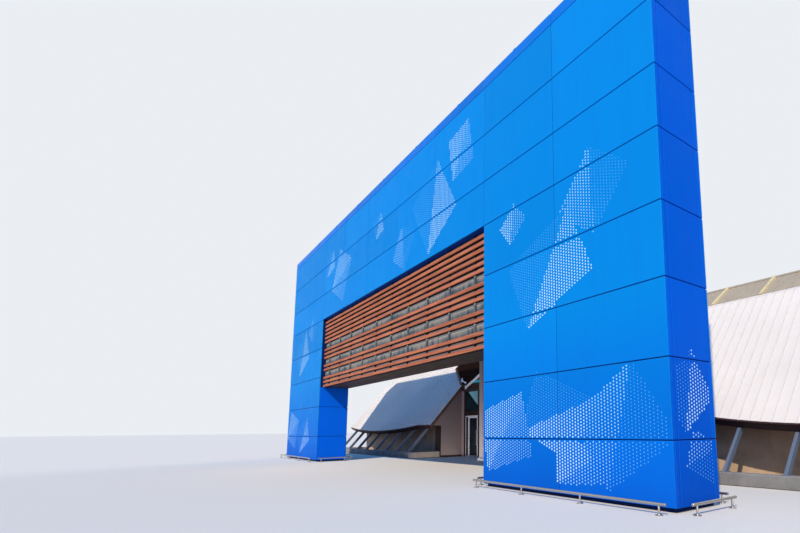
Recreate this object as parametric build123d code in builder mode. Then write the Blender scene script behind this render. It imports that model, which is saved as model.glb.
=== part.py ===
from build123d import *
import math
import os

# Supermarket front: a free-standing clad portal with a slatted fascia, and behind it a long hall
# with a leaning seamed facade, a recessed glazed entrance and a link canopy. Millimetres, +Z up,
# the front looks along -Y. The origin is the middle of the footprint, at ground level.

# Portal sizes
panel_w = 3150.0
pier_columns = 2
lintel_columns = 5
portal_depth = 1550.0
plinth_h = 80.0
plinth_set = 60.0
base_row_top = 1340.0
pier_row_h = 1600.0
pier_rows = 4
lintel_row_heights = (1430.0, 1550.0, 1600.0)
coping_h = 350.0
cassette_t = 40.0
joint_w = 20.0
corner_strip_w = 170.0

# Fascia and soffit sizes
soffit_z = 4000.0
fascia_set = 150.0
slat_h = 115.0
slat_t = 45.0
slat_pitch = 219.5
slats_left_out = (6, 10, 13)
fascia_rail_w = 60.0
fascia_rail_t = 60.0
fascia_rails_per_panel = 2
backing_t = 30.0
board_w = 135.0
board_gap = 8.0
board_t = 22.0

# Bumper rail sizes
rail_z = 200.0
rail_r = 30.0
rail_off = 330.0
rail_post_r = 20.0
rail_flange_r = 75.0
rail_flange_t = 12.0
rail_post_gap = 2000.0
rail_sides = 8
flange_sides = 12

# Hall sizes: the section is given by heights and slopes, distances run back from the portal front
bay_w = 6600.0
side_bays = 2
facade_y = 6000.0
facade_z = 1900.0
facade_slope = 49.0
eaves_z = 6450.0
band_slope = 35.0
band_top_z = 7500.0
roof_slope = 13.0
ridge_y = 16500.0
shell_t = 250.0
facade_belly = 420.0
belly_start_left = 1650.0
belly_start_right = 4700.0
recess_y = 7300.0
recess_wall_t = 200.0
gable_t = 250.0
floor_t = 40.0
curb_h = 350.0
curb_t = 320.0
struts_per_bay = 4
strut_w = 90.0
strut_depth = 160.0
strip_w = 120.0
strip_t = 60.0
strip_pitch = 1920.0

# Entrance sizes
entrance_y = 8200.0
side_wall_t = 150.0
side_wall_y = 6730.0
return_w = 600.0
boarding_run = 2600.0
boarding_rise = 1780.0
barge_w = 140.0
barge_t = 60.0
front_modules = 8
corner_post_w = 300.0
frame_w = 100.0
frame_depth = 150.0
sill_h = 90.0
spandrel_z = 2480.0
spandrel_h = 260.0
glass_t = 24.0
column_w = 280.0
column_y = 6400.0
column_module = 1
column_base_w = 420.0
column_base_h = 160.0
canopy_z = 6000.0
canopy_t = 260.0
canopy_module_count = 3
head_h = 60.0
ceiling_t = 40.0
brace_r = 65.0
brace_in = 500.0
brace_z_low = 4240.0
brace_z_high = 4570.0
brace_plate = 200.0
brace_plate_t = 25.0

# Door sizes
door_jamb_w = 60.0
sidelight_w = 240.0
door_gap = 10.0
door_floor_gap = 12.0
stile_w = 80.0
leaf_t = 50.0
leaf_glass_t = 16.0
knuckle_r = 18.0
knuckle_h = 70.0
knuckle_gap = 0.3
knuckle_off = 5.0
hinge_plate_w = 45.0
hinge_plate_t = 10.0
pin_r = 8.0
pin_play = 0.5
hinge_count = 3
handle_r = 16.0
handle_post_r = 10.0
handle_len = 900.0
handle_off = 70.0
handle_mid_z = 1150.0

# Portal positions
pier_w = pier_columns * panel_w
lintel_w = lintel_columns * panel_w
portal_half = pier_w + lintel_w / 2
opening_half = lintel_w / 2
pier_row_edges = [plinth_h, base_row_top] + [base_row_top + pier_row_h * n for n in range(1, pier_rows + 1)]
fascia_top = pier_row_edges[-1]
lintel_row_edges = [fascia_top]
for row_height in lintel_row_heights:
    lintel_row_edges.append(lintel_row_edges[-1] + row_height)
portal_row_edges = pier_row_edges + lintel_row_edges[1:]
coping_z = portal_row_edges[-1]
portal_top = coping_z + coping_h

# Hall positions
slope = math.radians(facade_slope)
hall_half = bay_w * (side_bays + 1)
entrance_half = bay_w
rail_reach = rail_off + max(rail_r, rail_flange_r)


def facade_outer_z(y):
    """Height of the facade's outer face, y behind the portal front."""
    return facade_z + (y - facade_y) * math.tan(slope)


def facade_outer_y(z):
    """Distance of the facade's outer face behind the portal front, at height z."""
    return facade_y + (z - facade_z) / math.tan(slope)


def facade_inner_z(y):
    return facade_outer_z(y) - shell_t / math.cos(slope)


def facade_inner_y(z):
    return facade_outer_y(z) + shell_t / math.sin(slope)


eaves_y = facade_outer_y(eaves_z)
band_top_y = eaves_y + (band_top_z - eaves_z) / math.tan(math.radians(band_slope))
ridge_z = band_top_z + (ridge_y - band_top_y) * math.tan(math.radians(roof_slope))
belly_z = facade_z - facade_belly * math.sin(slope)
curb_front_y = facade_inner_y(curb_h) - (curb_t - strut_depth / math.sin(slope)) / 2
hall_back_y = 2 * ridge_y - curb_front_y
total_depth = rail_reach + hall_back_y
portal_y = rail_reach - total_depth / 2


def at(y):
    """Place in the model of a distance behind the portal front."""
    return portal_y + y


def front_plane(y):
    """Upright plane facing -Y, local x along X and local y up."""
    return Plane(origin=(0, at(y), 0), x_dir=(1, 0, 0), z_dir=(0, -1, 0))


def side_plane(x):
    """Upright plane facing +X, local x along Y and local y up."""
    return Plane(origin=(x, 0, 0), x_dir=(0, 1, 0), z_dir=(1, 0, 0))


def section(points):
    """Points of a cross-section, (distance behind the portal front, height)."""
    return [(at(y), z) for y, z in points]


def mirrored(points):
    """The same points on the back slope of the hall, in the opposite order."""
    return [(2 * ridge_y - y, z) for y, z in reversed(points)]


def cells(edges_x, edges_z):
    """Middle and size of each cassette between the joints of a grid."""
    for x0, x1 in zip(edges_x, edges_x[1:]):
        for z0, z1 in zip(edges_z, edges_z[1:]):
            yield (x0 + x1) / 2, (z0 + z1) / 2, x1 - x0 - joint_w, z1 - z0 - joint_w


def column_edges(start, count):
    return [start + panel_w * n for n in range(count + 1)]


def save(part, name):
    part.label = name
    export_step(part, f"parts/{name}.step")


os.makedirs("parts", exist_ok=True)

# Steel frame of the portal, boarded in behind the cassettes and set back at the foot
core_half = portal_half - cassette_t
core_back = portal_depth - cassette_t

with BuildPart() as pier_core_right:
    with BuildSketch(Plane.XY) as foot:
        with Locations(((opening_half + portal_half) / 2, at(portal_depth / 2))):
            Rectangle(pier_w - 2 * (cassette_t + plinth_set), portal_depth - 2 * (cassette_t + plinth_set))
    extrude(amount=plinth_h)
    with BuildSketch(Plane.XY.offset(plinth_h)):
        with Locations(((opening_half + portal_half) / 2, at(portal_depth / 2))):
            Rectangle(pier_w - 2 * cassette_t, portal_depth - 2 * cassette_t)
    extrude(amount=coping_z - plinth_h)
save(pier_core_right.part, "pier_core_right")

with BuildPart() as pier_core_left:
    add(pier_core_right.part.mirror(Plane.YZ))
save(pier_core_left.part, "pier_core_left")

backing_front = fascia_set + slat_t + fascia_rail_t
fascia_core_front = backing_front + backing_t
soffit_core_z = soffit_z + board_t
lintel_core_profile = [
    (fascia_core_front, soffit_core_z),
    (core_back, soffit_core_z),
    (core_back, coping_z),
    (cassette_t, coping_z),
    (cassette_t, fascia_top),
    (fascia_core_front, fascia_top),
]
core_span = opening_half + cassette_t
with BuildPart() as lintel_core:
    with BuildSketch(side_plane(-core_span)):
        with BuildLine():
            Polyline(*section(lintel_core_profile), close=True)
        make_face()
    extrude(amount=2 * core_span)
save(lintel_core.part, "lintel_core")

# Cassettes
right_edges = column_edges(opening_half, pier_columns)
left_edges = column_edges(-portal_half, pier_columns)
lintel_edges = column_edges(-opening_half, lintel_columns)
all_edges = column_edges(-portal_half, 2 * pier_columns + lintel_columns)

with BuildPart() as front_cassettes_right:
    with BuildSketch(front_plane(cassette_t)):
        for x, z, width, height in cells(right_edges, portal_row_edges):
            with Locations((x, z)):
                Rectangle(width, height)
    extrude(amount=cassette_t)
save(front_cassettes_right.part, "front_cassettes_right")

with BuildPart() as front_cassettes_left:
    with BuildSketch(front_plane(cassette_t)):
        for x, z, width, height in cells(left_edges, portal_row_edges):
            with Locations((x, z)):
                Rectangle(width, height)
    extrude(amount=cassette_t)
save(front_cassettes_left.part, "front_cassettes_left")

with BuildPart() as front_cassettes_lintel:
    with BuildSketch(front_plane(cassette_t)):
        for x, z, width, height in cells(lintel_edges, lintel_row_edges):
            with Locations((x, z)):
                Rectangle(width, height)
    extrude(amount=cassette_t)
save(front_cassettes_lintel.part, "front_cassettes_lintel")

back_pier_rows = portal_row_edges
back_lintel_rows = [soffit_z] + [z for z in portal_row_edges if z > soffit_z + joint_w]
with BuildPart() as back_cassettes:
    with BuildSketch(front_plane(portal_depth)):
        for edges, rows in ((right_edges, back_pier_rows), (left_edges, back_pier_rows),
                            (lintel_edges, back_lintel_rows)):
            for x, z, width, height in cells(edges, rows):
                with Locations((x, z)):
                    Rectangle(width, height)
    extrude(amount=cassette_t)
save(back_cassettes.part, "back_cassettes")

# End faces: a wide middle cassette between two folded corner strips
end_edges = [at(cassette_t), at(corner_strip_w), at(portal_depth - corner_strip_w), at(core_back)]
with BuildPart() as end_cassettes_right:
    with BuildSketch(side_plane(core_half)):
        for y, z, width, height in cells(end_edges, portal_row_edges):
            with Locations((y, z)):
                Rectangle(width, height)
    extrude(amount=cassette_t)
save(end_cassettes_right.part, "end_cassettes_right")

with BuildPart() as end_cassettes_left:
    add(end_cassettes_right.part.mirror(Plane.YZ))
save(end_cassettes_left.part, "end_cassettes_left")

# Inner faces of the two piers, up to the soffit
reveal_rows = [z for z in portal_row_edges if z < soffit_z - joint_w] + [soffit_z]
with BuildPart() as reveal_cassettes:
    with BuildSketch(side_plane(-opening_half)):
        for y, z, width, height in cells([at(cassette_t), at(core_back)], reveal_rows):
            with Locations((y, z)):
                Rectangle(width, height)
    extrude(amount=-cassette_t)
    mirror(about=Plane.YZ)
save(reveal_cassettes.part, "reveal_cassettes")

# Folded metal coping, in lengths as wide as the cassettes
with BuildPart() as coping:
    with BuildSketch(Plane.XY.offset(coping_z)):
        for x0, x1 in zip(all_edges, all_edges[1:]):
            with Locations(((x0 + x1) / 2, at(portal_depth / 2))):
                Rectangle(x1 - x0 - joint_w, portal_depth)
    extrude(amount=coping_h)
save(coping.part, "coping")

# Fascia in the opening: backing sheets, upright rails and wooden slats
fascia_bottom = soffit_z
with BuildPart() as fascia_backing:
    with BuildSketch(front_plane(fascia_core_front)):
        for x, z, width, height in cells(lintel_edges, [fascia_bottom, fascia_top]):
            with Locations((x, z)):
                Rectangle(width, height + joint_w)
    extrude(amount=backing_t)
save(fascia_backing.part, "fascia_backing")

fascia_rail_pitch = panel_w / fascia_rails_per_panel
with BuildPart() as fascia_rails:
    with BuildSketch(front_plane(backing_front)):
        with Locations((0, (fascia_bottom + fascia_top) / 2)):
            with GridLocations(fascia_rail_pitch, 1, lintel_columns * fascia_rails_per_panel, 1):
                Rectangle(fascia_rail_w, fascia_top - fascia_bottom)
    extrude(amount=fascia_rail_t)
save(fascia_rails.part, "fascia_rails")

slat_steps = int((fascia_top - fascia_bottom - slat_h) // slat_pitch)
slat_top_z = fascia_bottom + slat_h / 2 + slat_pitch * slat_steps
slat_heights = [slat_top_z - slat_pitch * n for n in range(slat_steps + 1) if n not in slats_left_out]
with BuildPart() as fascia_slats:
    with BuildSketch(front_plane(fascia_set + slat_t)):
        with Locations(*[(0, z) for z in slat_heights]):
            Rectangle(lintel_w - 2 * joint_w, slat_h)
    extrude(amount=slat_t)
save(fascia_slats.part, "fascia_slats")

# Boards under the lintel
board_pitch = board_w + board_gap
board_span = core_back - fascia_core_front
board_count = int(board_span // board_pitch)
with BuildPart() as soffit_boards:
    with BuildSketch(Plane.XY.offset(soffit_z)):
        with Locations((0, at(fascia_core_front + board_span / 2))):
            with GridLocations(1, board_pitch, 1, board_count):
                Rectangle(lintel_w - 2 * joint_w, board_w)
    extrude(amount=board_t)
save(soffit_boards.part, "soffit_boards")

# Bumper rails round the foot of each pier: a tube on short posts with round flanges
pier_mid_x = (opening_half + portal_half) / 2
long_rails = (-rail_off, portal_depth + rail_off)
short_rails = (opening_half - rail_off, portal_half + rail_off)
end_gap = 2 * rail_flange_r


def post_places(length):
    """Places of the posts along a rail, measured from its middle."""
    gaps = max(int(length // rail_post_gap), 1)
    step = (length - 2 * end_gap) / gaps
    return [-length / 2 + end_gap + step * n for n in range(gaps + 1)]


post_spots = [(pier_mid_x + t, at(y)) for y in long_rails for t in post_places(pier_w)]
post_spots += [(x, at(portal_depth / 2) + t) for x in short_rails for t in post_places(portal_depth)]
with BuildPart() as bumper_rails_right:
    with BuildSketch(Plane.YZ.offset(opening_half)):
        with Locations(*[(at(y), rail_z) for y in long_rails]):
            RegularPolygon(rail_r, rail_sides)
    extrude(amount=pier_w)
    with BuildSketch(Plane.XZ.offset(-at(0))):
        with Locations(*[(x, rail_z) for x in short_rails]):
            RegularPolygon(rail_r, rail_sides)
    extrude(amount=-portal_depth)
    with BuildSketch(Plane.XY):
        with Locations(*post_spots):
            RegularPolygon(rail_flange_r, flange_sides)
    extrude(amount=rail_flange_t)
    with BuildSketch(Plane.XY):
        with Locations(*post_spots):
            RegularPolygon(rail_post_r, rail_sides)
    extrude(amount=rail_z)
save(bumper_rails_right.part, "bumper_rails_right")

with BuildPart() as bumper_rails_left:
    add(bumper_rails_right.part.mirror(Plane.YZ))
save(bumper_rails_left.part, "bumper_rails_left")

# Hall shell: each facet of the section is a slab with mitred folds
fold_1 = (math.radians(band_slope) + slope) / 2
fold_2 = (math.radians(roof_slope) + math.radians(band_slope)) / 2
half_turn_1 = (slope - math.radians(band_slope)) / 2
half_turn_2 = (math.radians(band_slope) - math.radians(roof_slope)) / 2


def inward(point, fold, half_turn):
    """Inner corner of a mitred fold: shell_t behind both faces of the slab."""
    reach = shell_t / math.cos(half_turn)
    return point[0] + reach * math.sin(fold), point[1] - reach * math.cos(fold)


eaves = (eaves_y, eaves_z)
band_top = (band_top_y, band_top_z)
ridge = (ridge_y, ridge_z)
eaves_in = inward(eaves, fold_1, half_turn_1)
band_top_in = inward(band_top, fold_2, half_turn_2)
ridge_in = (ridge_y, ridge_z - shell_t / math.cos(math.radians(roof_slope)))
belly = (facade_outer_y(belly_z), belly_z)
belly_in = (belly[0] + shell_t * math.sin(slope), belly[1] - shell_t * math.cos(slope))

facade_section = [belly, eaves, eaves_in, belly_in]
band_section = [eaves, band_top, band_top_in, eaves_in]
roof_section = [band_top, ridge, ridge_in, band_top_in]

facade_plane = Plane(
    origin=(0, at(facade_y), facade_z),
    x_dir=(1, 0, 0),
    z_dir=(0, -math.sin(slope), math.cos(slope)),
)
node_v = (entrance_y - facade_y) / math.cos(slope)
eaves_v = (eaves_y - facade_y) / math.cos(slope)
cut_v = eaves_v + shell_t
wedge_x = entrance_half + boarding_run
wedge_v = node_v + boarding_rise


def facade_wing(belly_start):
    """Leaning slab left of the entrance: its foot is straight, then bellies down in an arc."""
    bow_x = entrance_half + belly_start
    with BuildPart() as wing:
        with BuildSketch(side_plane(-hall_half)):
            with BuildLine():
                Polyline(*section(facade_section), close=True)
            make_face()
        extrude(amount=hall_half - entrance_half)
        with BuildSketch(facade_plane):
            with BuildLine():
                Polyline((-hall_half, 0), (-hall_half, cut_v), (-wedge_x, cut_v), (-wedge_x, wedge_v),
                         (-entrance_half, node_v), (-entrance_half, 0), (-bow_x, 0))
                ThreePointArc((-bow_x, 0), (-(bow_x + hall_half) / 2, -facade_belly), (-hall_half, 0))
            make_face()
        extrude(amount=2 * shell_t, both=True, mode=Mode.INTERSECT)
    return wing.part


save(facade_wing(belly_start_left), "facade_left")
save(facade_wing(belly_start_right).mirror(Plane.YZ), "facade_right")

boarding_foot = [
    (entrance_y, facade_outer_z(entrance_y)),
    eaves,
    eaves_in,
    (entrance_y, facade_inner_z(entrance_y)),
]
with BuildPart() as entrance_boarding:
    with BuildSketch(side_plane(-wedge_x)):
        with BuildLine():
            Polyline(*section(boarding_foot), close=True)
        make_face()
    extrude(amount=2 * wedge_x)
    with BuildSketch(facade_plane):
        with BuildLine():
            Polyline((-entrance_half, 0), (-entrance_half, node_v), (-wedge_x, wedge_v), (-wedge_x, cut_v),
                     (wedge_x, cut_v), (wedge_x, wedge_v), (entrance_half, node_v), (entrance_half, 0),
                     close=True)
        make_face()
    extrude(amount=2 * shell_t, both=True, mode=Mode.INTERSECT)
save(entrance_boarding.part, "entrance_boarding")

barge_half = barge_w / 2
barge_lean = math.atan2(boarding_rise, boarding_run)
knee = barge_half * math.tan((math.pi / 2 - barge_lean) / 2)
aside = (barge_half * math.sin(barge_lean), barge_half * math.cos(barge_lean))
barge_foot = (entrance_half + aside[1], node_v + aside[0])
barge_top_v = eaves_v - barge_half
with BuildPart() as barge_boards:
    with BuildSketch(facade_plane):
        with BuildLine():
            Polyline((barge_foot[0] - aside[0], barge_foot[1] + aside[1]), (wedge_x - barge_half, wedge_v + knee),
                     (wedge_x - barge_half, barge_top_v), (wedge_x + barge_half, barge_top_v),
                     (wedge_x + barge_half, wedge_v - knee), (barge_foot[0] + aside[0], barge_foot[1] - aside[1]),
                     close=True)
        make_face()
        mirror(about=Plane.YZ)
    extrude(amount=barge_t)
save(barge_boards.part, "barge_boards")


def slab_along_hall(points):
    """Prism of a cross-section over the whole length of the hall."""
    with BuildPart() as slab:
        with BuildSketch(side_plane(-hall_half)):
            with BuildLine():
                Polyline(*section(points), close=True)
            make_face()
        extrude(amount=2 * hall_half)
    return slab.part


save(slab_along_hall(band_section), "roof_band_front")
save(slab_along_hall(roof_section), "roof_front")
save(slab_along_hall(mirrored(roof_section)), "roof_back")
save(slab_along_hall(mirrored(band_section)), "roof_band_back")
save(slab_along_hall(mirrored(facade_section)), "facade_back")

# Pale strips laid up the steep band of the roof, front and back
band_len = math.hypot(band_top_y - eaves_y, band_top_z - eaves_z)
band_angle = math.radians(band_slope)
band_plane = Plane(
    origin=(0, at((eaves_y + band_top_y) / 2), (eaves_z + band_top_z) / 2),
    x_dir=(1, 0, 0),
    z_dir=(0, -math.sin(band_angle), math.cos(band_angle)),
)
bay_count = 2 * (side_bays + 1)
strip_count = 2 * int((hall_half - strip_w) / strip_pitch) + 1
with BuildPart() as roof_strips:
    with BuildSketch(band_plane):
        with GridLocations(strip_pitch, 1, strip_count, 1):
            Rectangle(strip_w, band_len - strip_w)
    extrude(amount=strip_t)
    mirror(about=Plane.XZ.offset(-at(ridge_y)))
save(roof_strips.part, "roof_strips")

# Upright walls under the shell
recess_back_y = recess_y + recess_wall_t
recess_section = [
    (recess_y, 0),
    (recess_y, facade_inner_z(recess_y)),
    (recess_back_y, facade_inner_z(recess_back_y)),
    (recess_back_y, 0),
]
side_wall_half = entrance_half + side_wall_t
with BuildPart() as recess_walls:
    with BuildSketch(side_plane(side_wall_half)):
        with BuildLine():
            Polyline(*section(recess_section), close=True)
        make_face()
    extrude(amount=hall_half - side_wall_half)
    mirror(about=Plane.YZ)
    with BuildSketch(side_plane(-hall_half)):
        with BuildLine():
            Polyline(*section(mirrored(recess_section)), close=True)
        make_face()
    extrude(amount=2 * hall_half)
save(recess_walls.part, "recess_walls")

gable_half_section = [
    (recess_back_y, 0),
    (recess_back_y, facade_inner_z(recess_back_y)),
    eaves_in,
    band_top_in,
]
with BuildPart() as gable_walls:
    with BuildSketch(side_plane(hall_half - gable_t)):
        with BuildLine():
            Polyline(*section(gable_half_section + [ridge_in] + mirrored(gable_half_section)), close=True)
        make_face()
    extrude(amount=gable_t)
    mirror(about=Plane.YZ)
save(gable_walls.part, "gable_walls")

entrance_back_y = entrance_y + frame_depth


def upright_under_facade(front, back):
    """Section of an upright wall from the ground to the underside of the facade."""
    return section([(front, 0), (front, facade_inner_z(front)), (back, facade_inner_z(back)), (back, 0)])


with BuildPart() as side_walls:
    with BuildSketch(side_plane(entrance_half)):
        with BuildLine():
            Polyline(*upright_under_facade(side_wall_y, entrance_back_y), close=True)
        make_face()
    extrude(amount=side_wall_t)
    with BuildSketch(side_plane(entrance_half)):
        with BuildLine():
            Polyline(*upright_under_facade(side_wall_y, side_wall_y + side_wall_t), close=True)
        make_face()
    extrude(amount=return_w)
    mirror(about=Plane.YZ)
save(side_walls.part, "side_walls")

hall_inner_half = hall_half - gable_t
floor_back_y = 2 * ridge_y - recess_back_y
with BuildPart() as hall_floor:
    with BuildSketch(Plane.XY):
        with Locations((0, at((entrance_back_y + floor_back_y) / 2))):
            Rectangle(2 * hall_inner_half, floor_back_y - entrance_back_y)
        with Locations(((side_wall_half + hall_inner_half) / 2, at((recess_back_y + floor_back_y) / 2))):
            Rectangle(hall_inner_half - side_wall_half, floor_back_y - recess_back_y)
        mirror(about=Plane.YZ)
    extrude(amount=floor_t)
save(hall_floor.part, "hall_floor")

# Low curb walls of the beds under the facade, with returns to the upright walls
curb_back_y = curb_front_y + curb_t
with BuildPart() as facade_curbs:
    with BuildSketch(Plane.XY):
        with Locations(((entrance_half + hall_half) / 2, at(curb_front_y + curb_t / 2))):
            Rectangle(hall_half - entrance_half, curb_t)
        mirror(about=Plane.YZ)
        with Locations((0, at(2 * ridge_y - curb_front_y - curb_t / 2))):
            Rectangle(2 * hall_half, curb_t)
    extrude(amount=curb_h)
save(facade_curbs.part, "facade_curbs")

end_return_len = recess_y - curb_back_y
door_return_len = side_wall_y - curb_back_y
with BuildPart() as curb_returns:
    with BuildSketch(Plane.XY):
        with Locations((entrance_half + curb_t / 2, at(curb_back_y + door_return_len / 2))):
            Rectangle(curb_t, door_return_len)
        with Locations((hall_half - curb_t / 2, at(curb_back_y + end_return_len / 2)),
                       (hall_half - curb_t / 2, at(2 * ridge_y - curb_back_y - end_return_len / 2))):
            Rectangle(curb_t, end_return_len)
        mirror(about=Plane.YZ)
    extrude(amount=curb_h)
save(curb_returns.part, "curb_returns")

# Slanting struts that carry the facade down to the curbs
strut_section = [
    (facade_inner_y(curb_h), curb_h),
    (recess_y, facade_inner_z(recess_y)),
    (recess_y, facade_inner_z(recess_y) - strut_depth / math.cos(slope)),
    (facade_inner_y(curb_h) + strut_depth / math.sin(slope), curb_h),
]
strut_pitch = bay_w / struts_per_bay
front_strut_xs = [entrance_half + strut_pitch * (n + 0.5) for n in range(side_bays * struts_per_bay)]
with BuildPart() as facade_struts:
    for x in front_strut_xs:
        with BuildSketch(side_plane(x - strut_w / 2)):
            with BuildLine():
                Polyline(*section(strut_section), close=True)
            make_face()
    extrude(amount=strut_w)
    mirror(about=Plane.YZ)
save(facade_struts.part, "facade_struts")

back_strut_xs = [strut_pitch * (n + 0.5) for n in range(bay_count * struts_per_bay // 2)]
with BuildPart() as back_struts:
    for x in back_strut_xs:
        with BuildSketch(side_plane(x - strut_w / 2)):
            with BuildLine():
                Polyline(*section(mirrored(strut_section)), close=True)
            make_face()
    extrude(amount=strut_w)
    mirror(about=Plane.YZ)
save(back_struts.part, "back_struts")

# Glazed front of the entrance: posts on a module, rails between them, panes in the gaps
front_half = entrance_half - corner_post_w
module_w = 2 * front_half / front_modules
head_z = facade_inner_z(entrance_y) - head_h
frame_mid_y = at(entrance_y + frame_depth / 2)
post_xs = [-front_half + module_w * n for n in range(front_modules + 1)]
post_xs[0] += frame_w / 2
post_xs[-1] -= frame_w / 2
clear_edges = [(a + frame_w / 2, b - frame_w / 2) for a, b in zip(post_xs, post_xs[1:])]
upper_z = spandrel_z + spandrel_h

with BuildPart() as front_posts:
    with BuildSketch(Plane.XY):
        with Locations(*[(x, frame_mid_y) for x in post_xs]):
            Rectangle(frame_w, frame_depth)
    extrude(amount=head_z)
save(front_posts.part, "front_posts")

with BuildPart() as corner_posts:
    with BuildSketch(side_plane(-entrance_half)):
        with BuildLine():
            Polyline(*upright_under_facade(entrance_y, entrance_back_y), close=True)
        make_face()
    extrude(amount=corner_post_w)
    mirror(about=Plane.YZ)
save(corner_posts.part, "corner_posts")

head_section = [
    (entrance_y, head_z),
    (entrance_y, facade_inner_z(entrance_y)),
    (entrance_back_y, facade_inner_z(entrance_back_y)),
    (entrance_back_y, head_z),
]
with BuildPart() as front_rails:
    with BuildSketch(side_plane(-front_half)):
        with BuildLine():
            Polyline(*section(head_section), close=True)
        make_face()
    extrude(amount=2 * front_half)
    for x0, x1 in clear_edges:
        with Locations(((x0 + x1) / 2, frame_mid_y, spandrel_z)):
            Box(x1 - x0, frame_depth, spandrel_h, align=(Align.CENTER, Align.CENTER, Align.MIN))
    for x0, x1 in clear_edges[1:]:
        with Locations(((x0 + x1) / 2, frame_mid_y, 0)):
            Box(x1 - x0, frame_depth, sill_h, align=(Align.CENTER, Align.CENTER, Align.MIN))
save(front_rails.part, "front_rails")

with BuildPart() as front_glass:
    for x0, x1 in clear_edges:
        with Locations(((x0 + x1) / 2, frame_mid_y, upper_z)):
            Box(x1 - x0, glass_t, head_z - upper_z, align=(Align.CENTER, Align.CENTER, Align.MIN))
    for x0, x1 in clear_edges[1:]:
        with Locations(((x0 + x1) / 2, frame_mid_y, sill_h)):
            Box(x1 - x0, glass_t, spandrel_z - sill_h, align=(Align.CENTER, Align.CENTER, Align.MIN))
save(front_glass.part, "front_glass")

# Door in the first module: a framed sidelight and one glazed leaf that opens outwards
door_x0, door_x1 = clear_edges[0]
mullion_x = door_x0 + door_jamb_w + sidelight_w
leaf_x0 = mullion_x + door_jamb_w + door_gap
leaf_x1 = door_x1 - door_jamb_w - door_gap
leaf_top_z = spandrel_z - door_jamb_w - door_gap
leaf_front_y = frame_mid_y - leaf_t / 2
hinge_x = leaf_x0 - door_gap / 2
hinge_y = leaf_front_y - knuckle_off - knuckle_r
hinge_zs = [leaf_top_z * (n + 0.5) / hinge_count for n in range(hinge_count)]
knuckle_step = knuckle_h + knuckle_gap
CORNER = (Align.MIN, Align.MIN, Align.MIN)
MIDDLE_UP = (Align.CENTER, Align.CENTER, Align.MIN)

with BuildPart() as door_frame:
    for x in (door_x0, mullion_x, door_x1 - door_jamb_w):
        with Locations((x, leaf_front_y, 0)):
            Box(door_jamb_w, leaf_t, spandrel_z - door_jamb_w, align=CORNER)
    with Locations((door_x0, leaf_front_y, spandrel_z - door_jamb_w)):
        Box(door_x1 - door_x0, leaf_t, door_jamb_w, align=CORNER)
    with Locations((door_x0 + door_jamb_w, leaf_front_y, 0)):
        Box(sidelight_w, leaf_t, door_jamb_w, align=CORNER)
save(door_frame.part, "door_frame")

with BuildPart() as sidelight_glass:
    with Locations((door_x0 + door_jamb_w + sidelight_w / 2, frame_mid_y, door_jamb_w)):
        Box(sidelight_w, leaf_glass_t, spandrel_z - 2 * door_jamb_w, align=MIDDLE_UP)
save(sidelight_glass.part, "sidelight_glass")

with BuildPart() as door_hinges:
    for z in hinge_zs:
        with Locations((hinge_x, hinge_y, z - knuckle_h / 2 - knuckle_step),
                       (hinge_x, hinge_y, z - knuckle_h / 2 + knuckle_step)):
            Cylinder(knuckle_r, knuckle_h, align=MIDDLE_UP)
        with Locations((hinge_x - hinge_plate_w, leaf_front_y - hinge_plate_t,
                        z - knuckle_h / 2 - knuckle_step),
                       (hinge_x - hinge_plate_w, leaf_front_y - hinge_plate_t,
                        z - knuckle_h / 2 + knuckle_step)):
            Box(hinge_plate_w, hinge_plate_t, knuckle_h, align=CORNER)
        with Locations((hinge_x, hinge_y, z)):
            Cylinder(pin_r, 2 * knuckle_step)
save(door_hinges.part, "door_hinges")

with BuildPart() as door_leaf:
    with BuildSketch(Plane(origin=(0, leaf_front_y + leaf_t, 0), x_dir=(1, 0, 0), z_dir=(0, -1, 0))):
        with Locations(((leaf_x0 + leaf_x1) / 2, (door_floor_gap + leaf_top_z) / 2)):
            Rectangle(leaf_x1 - leaf_x0, leaf_top_z - door_floor_gap)
            Rectangle(leaf_x1 - leaf_x0 - 2 * stile_w, leaf_top_z - door_floor_gap - 2 * stile_w,
                      mode=Mode.SUBTRACT)
    extrude(amount=leaf_t)
    for z in hinge_zs:
        with Locations((hinge_x, hinge_y, z)):
            Cylinder(knuckle_r, knuckle_h)
        with Locations((hinge_x, leaf_front_y - hinge_plate_t, z - knuckle_h / 2)):
            Box(hinge_plate_w, hinge_plate_t, knuckle_h, align=CORNER)
        with Locations((hinge_x, hinge_y, z)):
            Cylinder(pin_r + pin_play, knuckle_h, mode=Mode.SUBTRACT)
save(door_leaf.part, "door_leaf")

with BuildPart() as door_glass:
    with Locations(((leaf_x0 + leaf_x1) / 2, frame_mid_y, door_floor_gap + stile_w)):
        Box(leaf_x1 - leaf_x0 - 2 * stile_w, leaf_glass_t, leaf_top_z - door_floor_gap - 2 * stile_w,
            align=MIDDLE_UP)
save(door_glass.part, "door_glass")

handle_x = leaf_x1 - stile_w / 2
handle_ends = (handle_mid_z - handle_len / 3, handle_mid_z + handle_len / 3)
with BuildPart() as door_handles:
    with Locations((handle_x, leaf_front_y - handle_off, handle_mid_z)):
        Cylinder(handle_r, handle_len)
    with Locations(*[(handle_x, leaf_front_y - handle_off / 2, z) for z in handle_ends]):
        Cylinder(handle_post_r, handle_off, rotation=(90, 0, 0))
    mirror(about=Plane.XZ.offset(-frame_mid_y))
save(door_handles.part, "door_handles")

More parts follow.
